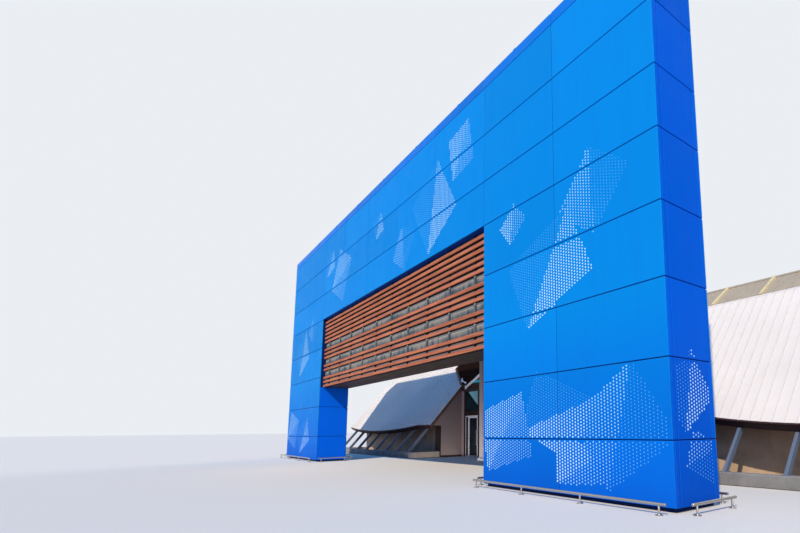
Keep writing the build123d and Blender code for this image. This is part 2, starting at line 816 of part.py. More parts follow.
# Link canopy between the portal and the facade, carried by two columns
canopy_half = module_w * canopy_module_count
canopy_top_z = canopy_z + canopy_t
canopy_section = [
    (portal_depth, canopy_z),
    (portal_depth, canopy_top_z),
    (facade_outer_y(canopy_top_z), canopy_top_z),
    (facade_outer_y(canopy_z), canopy_z),
]
with BuildPart() as link_canopy:
    with BuildSketch(side_plane(-canopy_half)):
        with BuildLine():
            Polyline(*section(canopy_section), close=True)
        make_face()
    extrude(amount=2 * canopy_half)
save(link_canopy.part, "link_canopy")

ceiling_z = canopy_z - ceiling_t
ceiling_back_y = facade_outer_y(ceiling_z)
with BuildPart() as canopy_ceiling:
    with BuildSketch(Plane.XY.offset(ceiling_z)):
        with Locations((0, at((portal_depth + ceiling_back_y) / 2))):
            Rectangle(2 * canopy_half, ceiling_back_y - portal_depth)
    extrude(amount=ceiling_t)
save(canopy_ceiling.part, "canopy_ceiling")

column_x = column_module * module_w
with BuildPart() as column_bases:
    with BuildSketch(Plane.XY):
        with Locations((column_x, at(column_y)), (-column_x, at(column_y))):
            Rectangle(column_base_w, column_base_w)
    extrude(amount=column_base_h)
save(column_bases.part, "column_bases")

with BuildPart() as porch_columns:
    with BuildSketch(Plane.XY.offset(column_base_h)):
        with Locations((column_x, at(column_y)), (-column_x, at(column_y))):
            Rectangle(column_w, column_w)
    extrude(amount=ceiling_z - column_base_h)
save(porch_columns.part, "porch_columns")

# Tube braces from the columns back to the edge of the boarding over the glazed front
brace_foot = Vector(-entrance_half + brace_in, at(entrance_y) - brace_plate_t / 2, brace_z_low)
brace_head = Vector(-column_x - column_w / 2 - brace_plate_t / 2, at(column_y), brace_z_high)
brace_axis = (brace_head - brace_foot).normalized()
with BuildPart() as porch_braces:
    with BuildSketch(Plane(origin=brace_foot, z_dir=brace_axis)):
        Circle(brace_r)
    extrude(amount=(brace_head - brace_foot).length)
    with Locations(brace_foot):
        Box(brace_plate, brace_plate_t, brace_plate)
    with Locations(brace_head):
        Box(brace_plate_t, brace_plate, brace_plate)
    split(bisect_by=Plane.XZ.offset(-at(entrance_y)), keep=Keep.TOP)
    split(bisect_by=Plane.YZ.offset(-column_x - column_w / 2), keep=Keep.BOTTOM)
    mirror(about=Plane.YZ)
save(porch_braces.part, "porch_braces")
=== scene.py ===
"""Looks of the supermarket front: portal, slatted fascia, leaning seamed facade and glazed entrance."""

import math

import bpy
import numpy as np
from mathutils import Matrix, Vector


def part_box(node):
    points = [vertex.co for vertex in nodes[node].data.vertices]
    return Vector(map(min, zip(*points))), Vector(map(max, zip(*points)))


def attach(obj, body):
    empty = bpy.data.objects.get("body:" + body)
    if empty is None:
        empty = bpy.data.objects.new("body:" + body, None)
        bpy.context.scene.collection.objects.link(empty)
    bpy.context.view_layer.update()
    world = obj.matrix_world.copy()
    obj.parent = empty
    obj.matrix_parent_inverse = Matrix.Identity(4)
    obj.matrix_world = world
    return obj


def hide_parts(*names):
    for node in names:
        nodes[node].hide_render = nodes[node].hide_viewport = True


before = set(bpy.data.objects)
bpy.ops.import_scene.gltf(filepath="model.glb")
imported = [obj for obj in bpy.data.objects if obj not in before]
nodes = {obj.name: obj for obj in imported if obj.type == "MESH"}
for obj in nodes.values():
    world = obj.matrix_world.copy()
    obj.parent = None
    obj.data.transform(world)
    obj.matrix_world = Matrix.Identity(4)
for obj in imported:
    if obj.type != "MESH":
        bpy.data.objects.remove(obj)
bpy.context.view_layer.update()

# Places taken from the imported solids, in metres
front_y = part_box("front_cassettes_right")[0][1]
pier_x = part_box("front_cassettes_right")[1][0]
opening_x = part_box("front_cassettes_right")[0][0]
back_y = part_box("back_cassettes")[1][1]
entrance_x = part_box("corner_posts")[1][0]

# Sizes of the hall's section, as in the solids
SLOPE, BAND, ROOF = (math.radians(angle) for angle in (49.0, 35.0, 13.0))
FACADE_Y, FACADE_Z = front_y + 6.0, 1.9
EAVES_Z, BAND_Z = 6.45, 7.5
RIDGE_Y = front_y + 16.5
HALL_HALF = 19.8
EAVES_Y = FACADE_Y + (EAVES_Z - FACADE_Z) / math.tan(SLOPE)
BAND_Y = EAVES_Y + (BAND_Z - EAVES_Z) / math.tan(BAND)
RIDGE_Z = BAND_Z + (RIDGE_Y - BAND_Y) * math.tan(ROOF)
# The node at the top of the wall beside the entrance, and how far up the slope it and the eaves lie
NODE_Y = front_y + 8.2
NODE_Z = FACADE_Z + (NODE_Y - FACADE_Y) * math.tan(SLOPE)
NODE_V = 2.2 / math.cos(SLOPE)
EAVES_V = (EAVES_Y - FACADE_Y) / math.cos(SLOPE)
# The sag of the facade's foot and where it starts on each side, the slant of the cladding's edge beside the
# entrance, and the front end of the wall there
BOW = 0.42
BOW_LEFT, BOW_RIGHT = entrance_x + 1.65, entrance_x + 4.7
WEDGE_RUN, WEDGE_RISE = 2.6, 1.78
SIDE_Y = front_y + 6.73

# Pitches of sheets, seams, ribs and boards
PANEL_W = 3.15
SEAM_GAP = 0.33
SEAM_START, SEAM_START_BACK = entrance_x + 0.24, -HALL_HALF + 0.2
RIB_PITCH = 0.14
STRIP_PITCH = 1.92

# Directions: along the hall and up, and on the leaning facade up its slope and out of it
ACROSS, ALONG_Y, UP = np.eye(3)
FALL = np.array([0, math.cos(SLOPE), math.sin(SLOPE)])
OUT = np.array([0, -math.sin(SLOPE), math.cos(SLOPE)])


# Mesh surfaces

def solids(name):
    """Points of each separate solid of a CAD node: corners at one place share a number, and every
    triangle passes its lowest number on until nothing changes."""
    mesh = nodes[name].data
    co = np.empty(len(mesh.vertices) * 3)
    mesh.vertices.foreach_get("co", co)
    co = co.reshape(-1, 3)
    mesh.calc_loop_triangles()
    tri = np.empty(len(mesh.loop_triangles) * 3, dtype=np.int32)
    mesh.loop_triangles.foreach_get("vertices", tri)
    _, first, same = np.unique(np.round(co, 5), axis=0, return_index=True, return_inverse=True)
    faces = same.reshape(-1)[tri].reshape(-1, 3)
    label = np.arange(len(first))
    while True:
        low = label[faces].min(axis=1)
        new = label.copy()
        np.minimum.at(new, faces.ravel(), np.repeat(low, 3))
        if (new == label).all():
            break
        label = new
    return [co[first[label == k]] for k in np.unique(label[faces])]


def solid_boxes(name):
    """Lowest and highest corner of each separate solid of a CAD node, as two arrays."""
    parts = solids(name)
    return np.array([p.min(axis=0) for p in parts]), np.array([p.max(axis=0) for p in parts])


def points(x, y, z):
    """Rows of (x, y, z), where each is a number or an array of numbers."""
    return np.stack(np.broadcast_arrays(x, y, z), axis=-1)


def piece(name, verts, faces, material, slot, body="building", smooth=False, tone=None, fall=None,
          stands_for=()):
    """One mesh with its points in the row frame, riding on a body. Tone and fall are values at its points."""
    mesh = bpy.data.meshes.new(name)
    mesh.from_pydata(np.asarray(verts).tolist(), [], [list(f) for f in faces])
    for label, values in (("tone", tone), ("fall", fall)):
        if values is not None:
            attribute = mesh.attributes.new(label, "FLOAT", "POINT")
            attribute.data.foreach_set("value", np.asarray(values, dtype=np.float32))
    mesh.polygons.foreach_set("use_smooth", np.full(len(mesh.polygons), smooth))
    mesh.materials.append(material)
    mesh.update()
    if smooth:
        mesh.set_sharp_from_angle(angle=math.radians(35))
    obj = bpy.data.objects.new(name, mesh)
    bpy.context.scene.collection.objects.link(obj)
    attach(obj, body)
    if stands_for:
        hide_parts(*stands_for)


def join(*meshes):
    """Several (points, faces) put together as one."""
    verts, faces, start = [], [], 0
    for v, f in meshes:
        v = np.asarray(v).reshape(-1, 3)
        verts.append(v)
        faces.extend([[i + start for i in face] for face in f])
        start += len(v)
    return np.concatenate(verts), faces


def chamfer_template():
    """A unit box with all edges cut at 45 degrees: each corner has one point per axis, which lies on
    the face across that axis and is set in along the other two."""
    signs = np.array([[x, y, z] for x in (-1, 1) for y in (-1, 1) for z in (-1, 1)])
    full = np.repeat(signs, 3, axis=0)
    inset = full * (1 - np.tile(np.eye(3), (8, 1)))
    number = {tuple(s): i for i, s in enumerate(signs)}
    faces = []
    for a in range(3):
        b, c = (a + 1) % 3, (a + 2) % 3
        for s in (-1, 1):
            ring = []
            for tb, tc in ((-1, -1), (1, -1), (1, 1), (-1, 1)):
                k = [0, 0, 0]
                k[a], k[b], k[c] = s, tb, tc
                ring.append(number[tuple(k)] * 3 + a)
            faces.append(ring)
        for sb in (-1, 1):
            for sc in (-1, 1):
                k0, k1 = [0, 0, 0], [0, 0, 0]
                k0[a], k1[a] = -1, 1
                k0[b] = k1[b] = sb
                k0[c] = k1[c] = sc
                n0, n1 = number[tuple(k0)] * 3, number[tuple(k1)] * 3
                faces.append([n0 + b, n1 + b, n1 + c, n0 + c])
    faces += [[n * 3, n * 3 + 1, n * 3 + 2] for n in range(8)]
    shape = full - 0.2 * inset
    for face in faces:
        p = shape[face]
        if np.dot(np.cross(p[1] - p[0], p[2] - p[0]), p.mean(axis=0)) < 0:
            face.reverse()
    return full, inset, faces


FULL, INSET, BOX_FACES = chamfer_template()
BOX_QUADS, BOX_TRIS = (np.array([f for f in BOX_FACES if len(f) == count]) for count in (4, 3))


def chamfered(lo, hi, cut):
    """Boxes with their edges cut: point = middle + sign * half size - sign * cut on the inset axes."""
    lo, hi = np.atleast_2d(lo), np.atleast_2d(hi)
    mid, half = (lo + hi) / 2, (hi - lo) / 2
    reach = np.minimum(cut, half * 0.9)
    verts = mid[:, None] + FULL[None] * half[:, None] - INSET[None] * reach[:, None]
    start = np.arange(len(lo))[:, None, None] * len(FULL)
    quads = (BOX_QUADS[None] + start).reshape(-1, 4).tolist()
    tris = (BOX_TRIS[None] + start).reshape(-1, 3).tolist()
    return verts.reshape(-1, 3), quads + tris


def box_tones(count, seed):
    """One value between 0 and 1 for each box, the same at all its points."""
    return np.repeat(np.random.default_rng(seed).random(count), len(FULL))


def bar_box(x0, x1, y0, y1, z0, z1, cut=0.004):
    """One box with cut edges, from its limits along each axis."""
    return chamfered([[x0, y0, z0]], [[x1, y1, z1]], cut)


def prisms(profile, starts, ends, side, up):
    """Straight bars: profile point (a, b) lies at start + a * side + b * up, and again at the end.
    The profile runs anticlockwise with a to the right and b up."""
    profile = np.asarray(profile, dtype=float)
    starts, ends = np.atleast_2d(starts).astype(float), np.atleast_2d(ends).astype(float)
    if np.dot(np.cross(side, up), ends[0] - starts[0]) < 0:
        profile = profile[::-1]
    ring = profile[:, :1] * np.asarray(side, dtype=float) + profile[:, 1:] * np.asarray(up, dtype=float)
    n = len(profile)
    verts = np.stack([starts[:, None] + ring, ends[:, None] + ring], axis=1).reshape(-1, 3)
    i = np.arange(n)
    j = (i + 1) % n
    quads = np.stack([i, j, j + n, i + n], axis=1)
    base = np.arange(len(starts))[:, None, None] * 2 * n
    faces = (quads[None] + base).reshape(-1, 4).tolist()
    caps = base[:, 0]
    faces += (caps + i[::-1][None]).tolist() + (caps + n + i[None]).tolist()
    return verts, faces


def flat(a0, a1, b0, b1):
    """Profile of a flat bar: the corners of a rectangle, anticlockwise."""
    return [(a0, b0), (a1, b0), (a1, b1), (a0, b1)]


def turned(profile, places, axis, sides=16):
    """Turned shapes: profile rows are (radius, height along the axis), first and last on the axis."""
    profile = np.asarray(profile, dtype=float)
    axis = np.asarray(axis, dtype=float) / np.linalg.norm(axis)
    side = np.cross(axis, [0.0, 0.0, 1.0] if abs(axis[2]) < 0.9 else [1.0, 0.0, 0.0])
    side /= np.linalg.norm(side)
    other = np.cross(axis, side)
    angle = np.arange(sides) * 2 * math.pi / sides
    round_dir = np.cos(angle)[:, None] * side + np.sin(angle)[:, None] * other
    rings = profile[1:-1, 0][:, None, None] * round_dir[None] + profile[1:-1, 1][:, None, None] * axis
    one = np.concatenate([[profile[0, 1] * axis], rings.reshape(-1, 3), [profile[-1, 1] * axis]])
    k = len(profile) - 2
    i = np.arange(sides)
    j = (i + 1) % sides
    quads = np.concatenate([np.stack([i + 1 + r * sides, j + 1 + r * sides, j + 1 + (r + 1) * sides,
                                      i + 1 + (r + 1) * sides], axis=1) for r in range(k - 1)])
    foot = np.stack([j + 1, i + 1, np.zeros(sides, dtype=int)], axis=1)
    last = 1 + k * sides
    head = np.stack([i + 1 + (k - 1) * sides, j + 1 + (k - 1) * sides, np.full(sides, last)], axis=1)
    places = np.atleast_2d(places)
    verts = (places[:, None] + one[None]).reshape(-1, 3)
    base = np.arange(len(places))[:, None, None] * len(one)
    faces = (quads[None] + base).reshape(-1, 4).tolist()
    faces += (foot[None] + base).reshape(-1, 3).tolist() + (head[None] + base).reshape(-1, 3).tolist()
    return verts, faces


def rod(a, b, radius, sides):
    """A round bar from a to b, its ends eased over three tenths of its radius."""
    a, b = np.asarray(a, dtype=float), np.asarray(b, dtype=float)
    length = np.linalg.norm(b - a)
    e = radius * 0.3
    profile = [(0, 0), (radius - e, 0), (radius, e), (radius, length - e), (radius - e, length), (0, length)]
    return turned(profile, a, b - a, sides)


def thick_grid(front, back):
    """A closed slab between two grids of points of the same size: rows go up and columns go right as
    seen from outside."""
    r, c = front.shape[:2]
    i, j = np.meshgrid(np.arange(r - 1), np.arange(c - 1), indexing="ij")
    a = (i * c + j).ravel()
    quads = np.stack([a, a + 1, a + c + 1, a + c], axis=1)
    ring = np.concatenate([np.arange(c), np.arange(1, r) * c + c - 1, (r - 1) * c + np.arange(c - 2, -1, -1),
                           np.arange(r - 2, 0, -1) * c])
    after = np.roll(ring, -1)
    edge = np.stack([ring, ring + r * c, after + r * c, after], axis=1)
    verts = np.concatenate([front.reshape(-1, 3), back.reshape(-1, 3)])
    return verts, quads.tolist() + (quads[:, ::-1] + r * c).tolist() + edge.tolist()


def mirror_x(verts, faces):
    """The same surface on the other side of the middle."""
    return np.asarray(verts) * (-1, 1, 1), [f[::-1] for f in faces]


def mirror_y(verts, faces):
    """The same surface on the back slope of the hall, mirrored about the ridge."""
    verts = np.array(verts)
    verts[:, 1] = 2 * RIDGE_Y - verts[:, 1]
    return verts, [f[::-1] for f in faces]


def both_sides(mesh):
    """The surface and its mirror image left and right of the middle."""
    return join(mesh, mirror_x(*mesh))


def front_and_back(mesh):
    """The surface and its mirror image in front of and behind the ridge."""
    return join(mesh, mirror_y(*mesh))


def on_slope(x, v):
    """Points of the leaning facade: x along the hall and v up the slope from its foot line."""
    x, v = np.broadcast_arrays(np.atleast_1d(x).astype(float), v)
    return points(x, FACADE_Y, FACADE_Z) + v[:, None] * FALL


# Shader groups

def feed(tree, node, **values):
    """Gives the named sockets of a node a value each, or links them to the socket given. A name's
    underscores stand for spaces, a number counts from the first socket, and a colour is three numbers."""
    for key, value in values.items():
        name = key.lstrip("_").replace("_", " ")
        socket = node.inputs[int(name) if name.isdigit() else name]
        if hasattr(value, "links"):
            tree.links.new(value, socket)
        else:
            socket.default_value = (*value, 1.0) if socket.type == "RGBA" else value
    return node


def add_node(tree, kind, settings=(), **values):
    """A node with its settings and then its sockets, which feed names."""
    node = tree.nodes.new(kind)
    for key, value in dict(settings).items():
        setattr(node, key, value)
    return feed(tree, node, **values)


def new_group(name, inputs, outputs):
    """An empty shader group: inputs are {name: default number or colour}, outputs are {name: kind}."""
    tree = bpy.data.node_groups.new(name, "ShaderNodeTree")
    for label, value in inputs.items():
        kind, value = ("Color", (*value, 1.0)) if isinstance(value, tuple) else ("Float", value)
        socket = tree.interface.new_socket(label, in_out="INPUT", socket_type="NodeSocket" + kind)
        socket.default_value = value
    for label, kind in outputs.items():
        tree.interface.new_socket(label, in_out="OUTPUT", socket_type="NodeSocket" + kind)
    return tree, tree.nodes.new("NodeGroupInput").outputs, tree.nodes.new("NodeGroupOutput")


def use_group(tree, group, **values):
    """A group placed in a tree with its own values: its outputs."""
    return add_node(tree, "ShaderNodeGroup", {"node_tree": group}, **values).outputs


def math_node(tree, operation, a, b=0.0, clamp=False):
    """a (operation) b, where either is a socket or a number."""
    settings = {"operation": operation, "use_clamp": clamp}
    return add_node(tree, "ShaderNodeMath", settings, _0=a, _1=b).outputs[0]


def weighted(tree, *pairs, clamp=False):
    """The sum of value * weight over the pairs, held between 0 and 1 at the end if clamp is set."""
    terms = [math_node(tree, "MULTIPLY", value, weight) for value, weight in pairs]
    total = terms[0]
    for term in terms[1:]:
        total = math_node(tree, "ADD", total, term, clamp and term is terms[-1])
    return total


def mix_colour(tree, factor, a, b):
    """Colour a where the factor is 0 and b where it is 1."""
    return add_node(tree, "ShaderNodeMix", {"data_type": "RGBA"}, Factor=factor, _6=a, _7=b).outputs[2]


def scaled(tree, colour, value):
    """The colour times a value."""
    return add_node(tree, "ShaderNodeVectorMath", {"operation": "SCALE"}, _0=colour, Scale=value).outputs[0]


def object_point(tree):
    """Output with Object coordinates."""
    return add_node(tree, "ShaderNodeTexCoord").outputs["Object"]


def object_axis(tree, axis):
    """Output with one of the Object coordinates."""
    return add_node(tree, "ShaderNodeSeparateXYZ", _0=object_point(tree)).outputs[axis]


def part_value(tree, label):
    """Output with a value that the piece keeps at its points."""
    return add_node(tree, "ShaderNodeAttribute", {"attribute_name": label}).outputs["Fac"]


def noise(tree, scale, detail=3.0, stretch=(1, 1, 1), rough=0.5):
    """Noise on Object coordinates, stretched along the axes."""
    place = add_node(tree, "ShaderNodeMapping", Vector=object_point(tree), Scale=stretch).outputs[0]
    return add_node(tree, "ShaderNodeTexNoise", Vector=place, Scale=scale, Detail=detail,
                    Roughness=rough).outputs["Fac"]


def remap(tree, value, lo, hi, new_lo=0.0, new_hi=1.0):
    """The value carried from one range to another and held inside it."""
    return add_node(tree, "ShaderNodeMapRange", {"clamp": True}, Value=value, From_Min=lo, From_Max=hi,
                    To_Min=new_lo, To_Max=new_hi).outputs["Result"]


def relief(tree, height, strength=1.0):
    """The normal bent by a height in metres."""
    return add_node(tree, "ShaderNodeBump", Strength=strength, Distance=1.0, Height=height).outputs["Normal"]


def make_grime():
    """Rain streaks, blotches and a splashed foot: how dirty each point is, from 0 to 1."""
    tree, given, out = new_group("Grime", {"Streaks": 0.3, "Blotches": 0.3, "Foot": 0.5, "Foot height": 0.6},
                                 {"Mask": "Float"})
    streak = remap(tree, noise(tree, 1.0, 4.0, (5.0, 5.0, 0.25)), 0.5, 0.75)
    blotch = remap(tree, noise(tree, 0.7, 5.0), 0.45, 0.75)
    rise = math_node(tree, "DIVIDE", object_axis(tree, "Z"), given["Foot height"])
    foot = math_node(tree, "SUBTRACT", 1.0, rise, clamp=True)
    splash = math_node(tree, "MULTIPLY", foot, remap(tree, noise(tree, 6.0, 4.0), 0.25, 0.7))
    feed(tree, out, Mask=weighted(tree, (streak, given["Streaks"]), (blotch, given["Blotches"]),
                                  (splash, given["Foot"]), clamp=True))
    return tree


def make_edge_wear():
    """Where the surface turns: one minus the cosine between the true and the rounded normal."""
    tree, given, out = new_group("Edge wear", {"Radius": 0.02, "Amount": 0.5}, {"Mask": "Float"})
    bevel = add_node(tree, "ShaderNodeBevel", {"samples": 4}, Radius=given["Radius"])
    geometry = add_node(tree, "ShaderNodeNewGeometry")
    cosine = add_node(tree, "ShaderNodeVectorMath", {"operation": "DOT_PRODUCT"}, _0=bevel.outputs["Normal"],
                      _1=geometry.outputs["Normal"]).outputs["Value"]
    turn = remap(tree, math_node(tree, "SUBTRACT", 1.0, cosine), 0.01, 0.2)
    worn = math_node(tree, "MULTIPLY", turn, remap(tree, noise(tree, 14.0, 5.0), 0.4, 0.62))
    feed(tree, out, Mask=math_node(tree, "MULTIPLY", worn, given["Amount"], clamp=True))
    return tree


def make_sheet_ripple():
    """Slow waves of thin sheet metal between its fixings, as a bent normal."""
    tree, given, out = new_group("Sheet ripple", {"Scale": 0.8, "Depth": 0.01, "Grain": 0.0003},
                                 {"Normal": "Vector"})
    height = weighted(tree, (noise(tree, given["Scale"], 1.0), given["Depth"]),
                      (noise(tree, 400.0, 1.0), given["Grain"]))
    feed(tree, out, Normal=relief(tree, height))
    return tree


SURFACE = {"Colour": "Color", "Rough": "Float", "Normal": "Vector"}


def make_wood_grain():
    """Grain along X: long noise bands across Y and Z, broken by finer fibres and dark checks."""
    tree, given, out = new_group("Wood grain", {"Light": (0.5, 0.2, 0.1), "Dark": (0.2, 0.06, 0.03),
                                                "Relief": 0.0008}, SURFACE)
    band = noise(tree, 1.0, 4.0, (0.6, 22.0, 22.0), 0.6)
    fibre = noise(tree, 1.0, 3.0, (6.0, 260.0, 260.0), 0.6)
    grain = weighted(tree, (band, 0.65), (fibre, 0.35))
    height = math_node(tree, "MULTIPLY", grain, given["Relief"])
    feed(tree, out, Colour=mix_colour(tree, remap(tree, grain, 0.36, 0.62), given["Dark"], given["Light"]),
         Rough=remap(tree, grain, 0.3, 0.7, 0.8, 0.5), Normal=relief(tree, height, 0.8))
    return tree


def make_cast_stone():
    """Cast concrete or render: clouds of tone, small pores and a sandy relief."""
    tree, given, out = new_group("Cast stone", {"Light": (0.5, 0.48, 0.45), "Dark": (0.3, 0.28, 0.26),
                                                "Relief": 0.002}, SURFACE)
    cloud = noise(tree, 1.6, 6.0, rough=0.62)
    sand = noise(tree, 90.0, 3.0)
    cells = add_node(tree, "ShaderNodeTexVoronoi", Scale=38.0, Vector=object_point(tree))
    pore = remap(tree, cells.outputs["Distance"], 0.06, 0.16)
    tone = remap(tree, weighted(tree, (cloud, 0.8), (sand, 0.2)), 0.35, 0.65)
    colour = mix_colour(tree, tone, given["Dark"], given["Light"])
    colour = mix_colour(tree, math_node(tree, "SUBTRACT", 1.0, pore), colour, given["Dark"])
    height = math_node(tree, "MULTIPLY", weighted(tree, (sand, 0.4), (pore, 0.6)), given["Relief"])
    feed(tree, out, Colour=colour, Rough=remap(tree, cloud, 0.3, 0.7, 0.95, 0.75),
         Normal=relief(tree, height, 0.7))
    return tree


def make_line_mask():
    """Lines every so many metres: 1 at a multiple of the pitch, falling to 0 at half a line's width."""
    tree, given, out = new_group("Line mask", {"Place": 0.0, "Half pitch": 1.0, "Width": 0.015},
                                 {"Mask": "Float"})
    away = math_node(tree, "PINGPONG", given["Place"], given["Half pitch"])
    near = math_node(tree, "DIVIDE", away, math_node(tree, "MULTIPLY", given["Width"], 0.5))
    feed(tree, out, Mask=math_node(tree, "SUBTRACT", 1.0, near, clamp=True))
    return tree


GRIME = make_grime()
EDGE_WEAR = make_edge_wear()
SHEET_RIPPLE = make_sheet_ripple()
WOOD_GRAIN = make_wood_grain()
CAST_STONE = make_cast_stone()
LINE_MASK = make_line_mask()


def lines_across(tree, axis, pitch, width, start=0.0, mirrored=False):
    """The line mask along one of the Object coordinates from a start, the same on both sides if mirrored."""
    value = object_axis(tree, axis)
    if mirrored:
        value = math_node(tree, "ABSOLUTE", value)
    return use_group(tree, LINE_MASK, Place=math_node(tree, "SUBTRACT", value, start), Half_pitch=pitch / 2,
                     Width=width)["Mask"]


# Finishes

# Near black: painted shadow under the slats and painted shade in the recess, with some soot
SOOT_AND_SHADE_BLACK = (0.006, 0.005, 0.005)


def new_material(name, **values):
    """A material, its tree and its shader, with values that are the same all over on the shader's sockets."""
    material = bpy.data.materials.new(name)
    material.use_nodes = True
    tree = material.node_tree
    return material, tree, feed(tree, tree.nodes["Principled BSDF"], **values)


def toned(tree, colour, amount):
    """The colour made a little lighter or darker from one part to the next by the tone attribute."""
    return scaled(tree, colour, remap(tree, part_value(tree, "tone"), 0.0, 1.0, 1.0 - amount, 1.0 + amount))


def sheet_metal(name, colour, dirt, rough=0.45, specular=0.3, metal=0.0, streaks=0.25, blotches=0.2, foot=0.4,
                foot_height=0.5, ripple=0.006, ripple_scale=0.7, grain=0.0002, worn=None, wear=0.0, tone=0.0,
                gleam=(1.0, 1.0, 1.0), seams=None, shade_by_height=None):
    """Painted or bare sheet with grime, ripples, worn edges and small differences between sheets. Seams are
    (axis, pitch, width, start, mirrored, strength): dark lines along them, partly dirt and partly painted
    shade
    beside the seams. Shade by height is (colour, height): painted shade and light that follow height, the
    colour at the foot blending into this colour at that height."""
    material, tree, shader = new_material(name, Metallic=metal, Specular_IOR_Level=specular,
                                          Specular_Tint=gleam)
    deep = tuple(c * 0.88 for c in colour)
    base = mix_colour(tree, remap(tree, noise(tree, 0.35, 2.0), 0.3, 0.7), deep, colour)
    # Painted shade and light by height: the base colour at the foot blends into the given colour higher up
    if shade_by_height:
        base = mix_colour(tree, remap(tree, object_axis(tree, "Z"), 0.0, shade_by_height[1]), base, shade_by_height[0])
    if tone:
        base = toned(tree, base, tone)
    grime = use_group(tree, GRIME, Streaks=streaks, Blotches=blotches, Foot=foot,
                      Foot_height=foot_height)["Mask"]
    base = mix_colour(tree, grime, base, dirt)
    # Seam lines, partly dirt and partly painted shade beside the seams
    if seams:
        line = math_node(tree, "MULTIPLY", lines_across(tree, *seams[:5]), seams[5])
        base = mix_colour(tree, line, base, dirt)
    if wear:
        edge = use_group(tree, EDGE_WEAR, Radius=0.012, Amount=wear)["Mask"]
        base = mix_colour(tree, edge, base, worn)
    gloss = math_node(tree, "ADD", math_node(tree, "MULTIPLY", grime, 0.35),
                      remap(tree, noise(tree, 2.5, 4.0), 0.3, 0.7, rough - 0.05, rough + 0.05), clamp=True)
    wave = use_group(tree, SHEET_RIPPLE, Scale=ripple_scale, Depth=ripple, Grain=grain)["Normal"]
    feed(tree, shader, Base_Color=base, Roughness=gloss, Normal=wave)
    return material


def streaked_and_slat_shaded_sheet(name, dark, middle, pale):
    """Old sheet behind the slats. The attribute "fall" is the distance in metres below the slat above: a
    painted shadow, near black with some soot, just under the slat; then a pale band of lime that runs down in
    ragged tongues, made paler as painted light where the slat's shadow falls; then bare sheet made darker as
    painted shade where the sun reaches it, down to the next slat."""
    material, tree, shader = new_material(name, Specular_IOR_Level=0.2, Roughness=0.6)
    fall = part_value(tree, "fall")
    runs = noise(tree, 1.0, 4.0, (5.0, 5.0, 0.5), 0.6)
    cloud = noise(tree, 0.9, 4.0)
    tongue = weighted(tree, (runs, 0.3), (cloud, 0.4))
    reach = math_node(tree, "SUBTRACT", fall, math_node(tree, "SUBTRACT", tongue, 0.2))
    base = mix_colour(tree, remap(tree, runs, 0.35, 0.65), dark, middle)
    # Painted light: the pale band lies where the slat's shadow falls
    base = mix_colour(tree, remap(tree, reach, -0.05, 0.1, 1.0, 0.0), base, pale)
    # Painted shade: the bare sheet below the slat's shadow is darkened where the sun reaches it
    base = scaled(tree, base, remap(tree, fall, 0.085, 0.115, 1.0, 0.42))
    # Painted shadow: near black just under the slat, with some soot
    base = mix_colour(tree, remap(tree, fall, 0.014, 0.036, 1.0, 0.0), base, SOOT_AND_SHADE_BLACK)
    wave = use_group(tree, SHEET_RIPPLE, Scale=1.5, Depth=0.003, Grain=0.0002)["Normal"]
    feed(tree, shader, Base_Color=base, Normal=wave)
    return material


def perforated_look(name, faint, bright):
    """Pale backing seen through small holes, from faint to bright by the tone attribute."""
    material, tree, shader = new_material(name, Specular_IOR_Level=0.1)
    grime = use_group(tree, GRIME, Streaks=0.2, Blotches=0.25, Foot=0.2, Foot_height=0.5)["Mask"]
    base = mix_colour(tree, part_value(tree, "tone"), faint, bright)
    base = mix_colour(tree, math_node(tree, "MULTIPLY", grime, 0.5), base, faint)
    feed(tree, shader, Base_Color=base, Roughness=remap(tree, noise(tree, 3.0, 3.0), 0.3, 0.7, 0.4, 0.6))
    return material


def wood(name, light, dark, bleach, bleach_amount, relief_depth=0.001, tone=0.2):
    """Stained boards with grain along X, weathered paler in streaks."""
    material, tree, shader = new_material(name, Specular_IOR_Level=0.25)
    grain = use_group(tree, WOOD_GRAIN, Light=light, Dark=dark, Relief=relief_depth)
    pale = remap(tree, noise(tree, 1.0, 4.0, (0.8, 9.0, 9.0)), 0.5, 0.75, 0.0, bleach_amount)
    base = mix_colour(tree, pale, toned(tree, grain["Colour"], tone), bleach)
    feed(tree, shader, Base_Color=base, Roughness=grain["Rough"], Normal=grain["Normal"])
    return material


def stone(name, light, dark, relief_depth=0.002, foot=0.5, foot_height=0.5, dirt=(0.16, 0.14, 0.12),
          joints=None, shade=None):
    """Cast or rendered wall with pores, clouds, a splashed foot and, where given, panel joints. Shade is
    (from height, to height, amount): painted shade that darkens the wall upwards."""
    material, tree, shader = new_material(name, Specular_IOR_Level=0.2)
    cast = use_group(tree, CAST_STONE, Light=light, Dark=dark, Relief=relief_depth)
    grime = use_group(tree, GRIME, Streaks=0.3, Blotches=0.15, Foot=foot, Foot_height=foot_height)["Mask"]
    base = mix_colour(tree, math_node(tree, "MULTIPLY", grime, 0.6), cast["Colour"], dirt)
    if joints:
        line = math_node(tree, "MAXIMUM", *(lines_across(tree, axis, pitch, 0.05)
                                            for axis, pitch in zip("YZ", joints)))
        base = mix_colour(tree, line, base, tuple(c * 0.25 for c in dark))
    # Painted shade, darker upwards
    if shade:
        painted_shade_amount = remap(tree, object_axis(tree, "Z"), shade[0], shade[1], 0.0, shade[2])
        base = mix_colour(tree, painted_shade_amount, base, SOOT_AND_SHADE_BLACK)
    feed(tree, shader, Base_Color=base, Roughness=cast["Rough"], Normal=cast["Normal"])
    return material


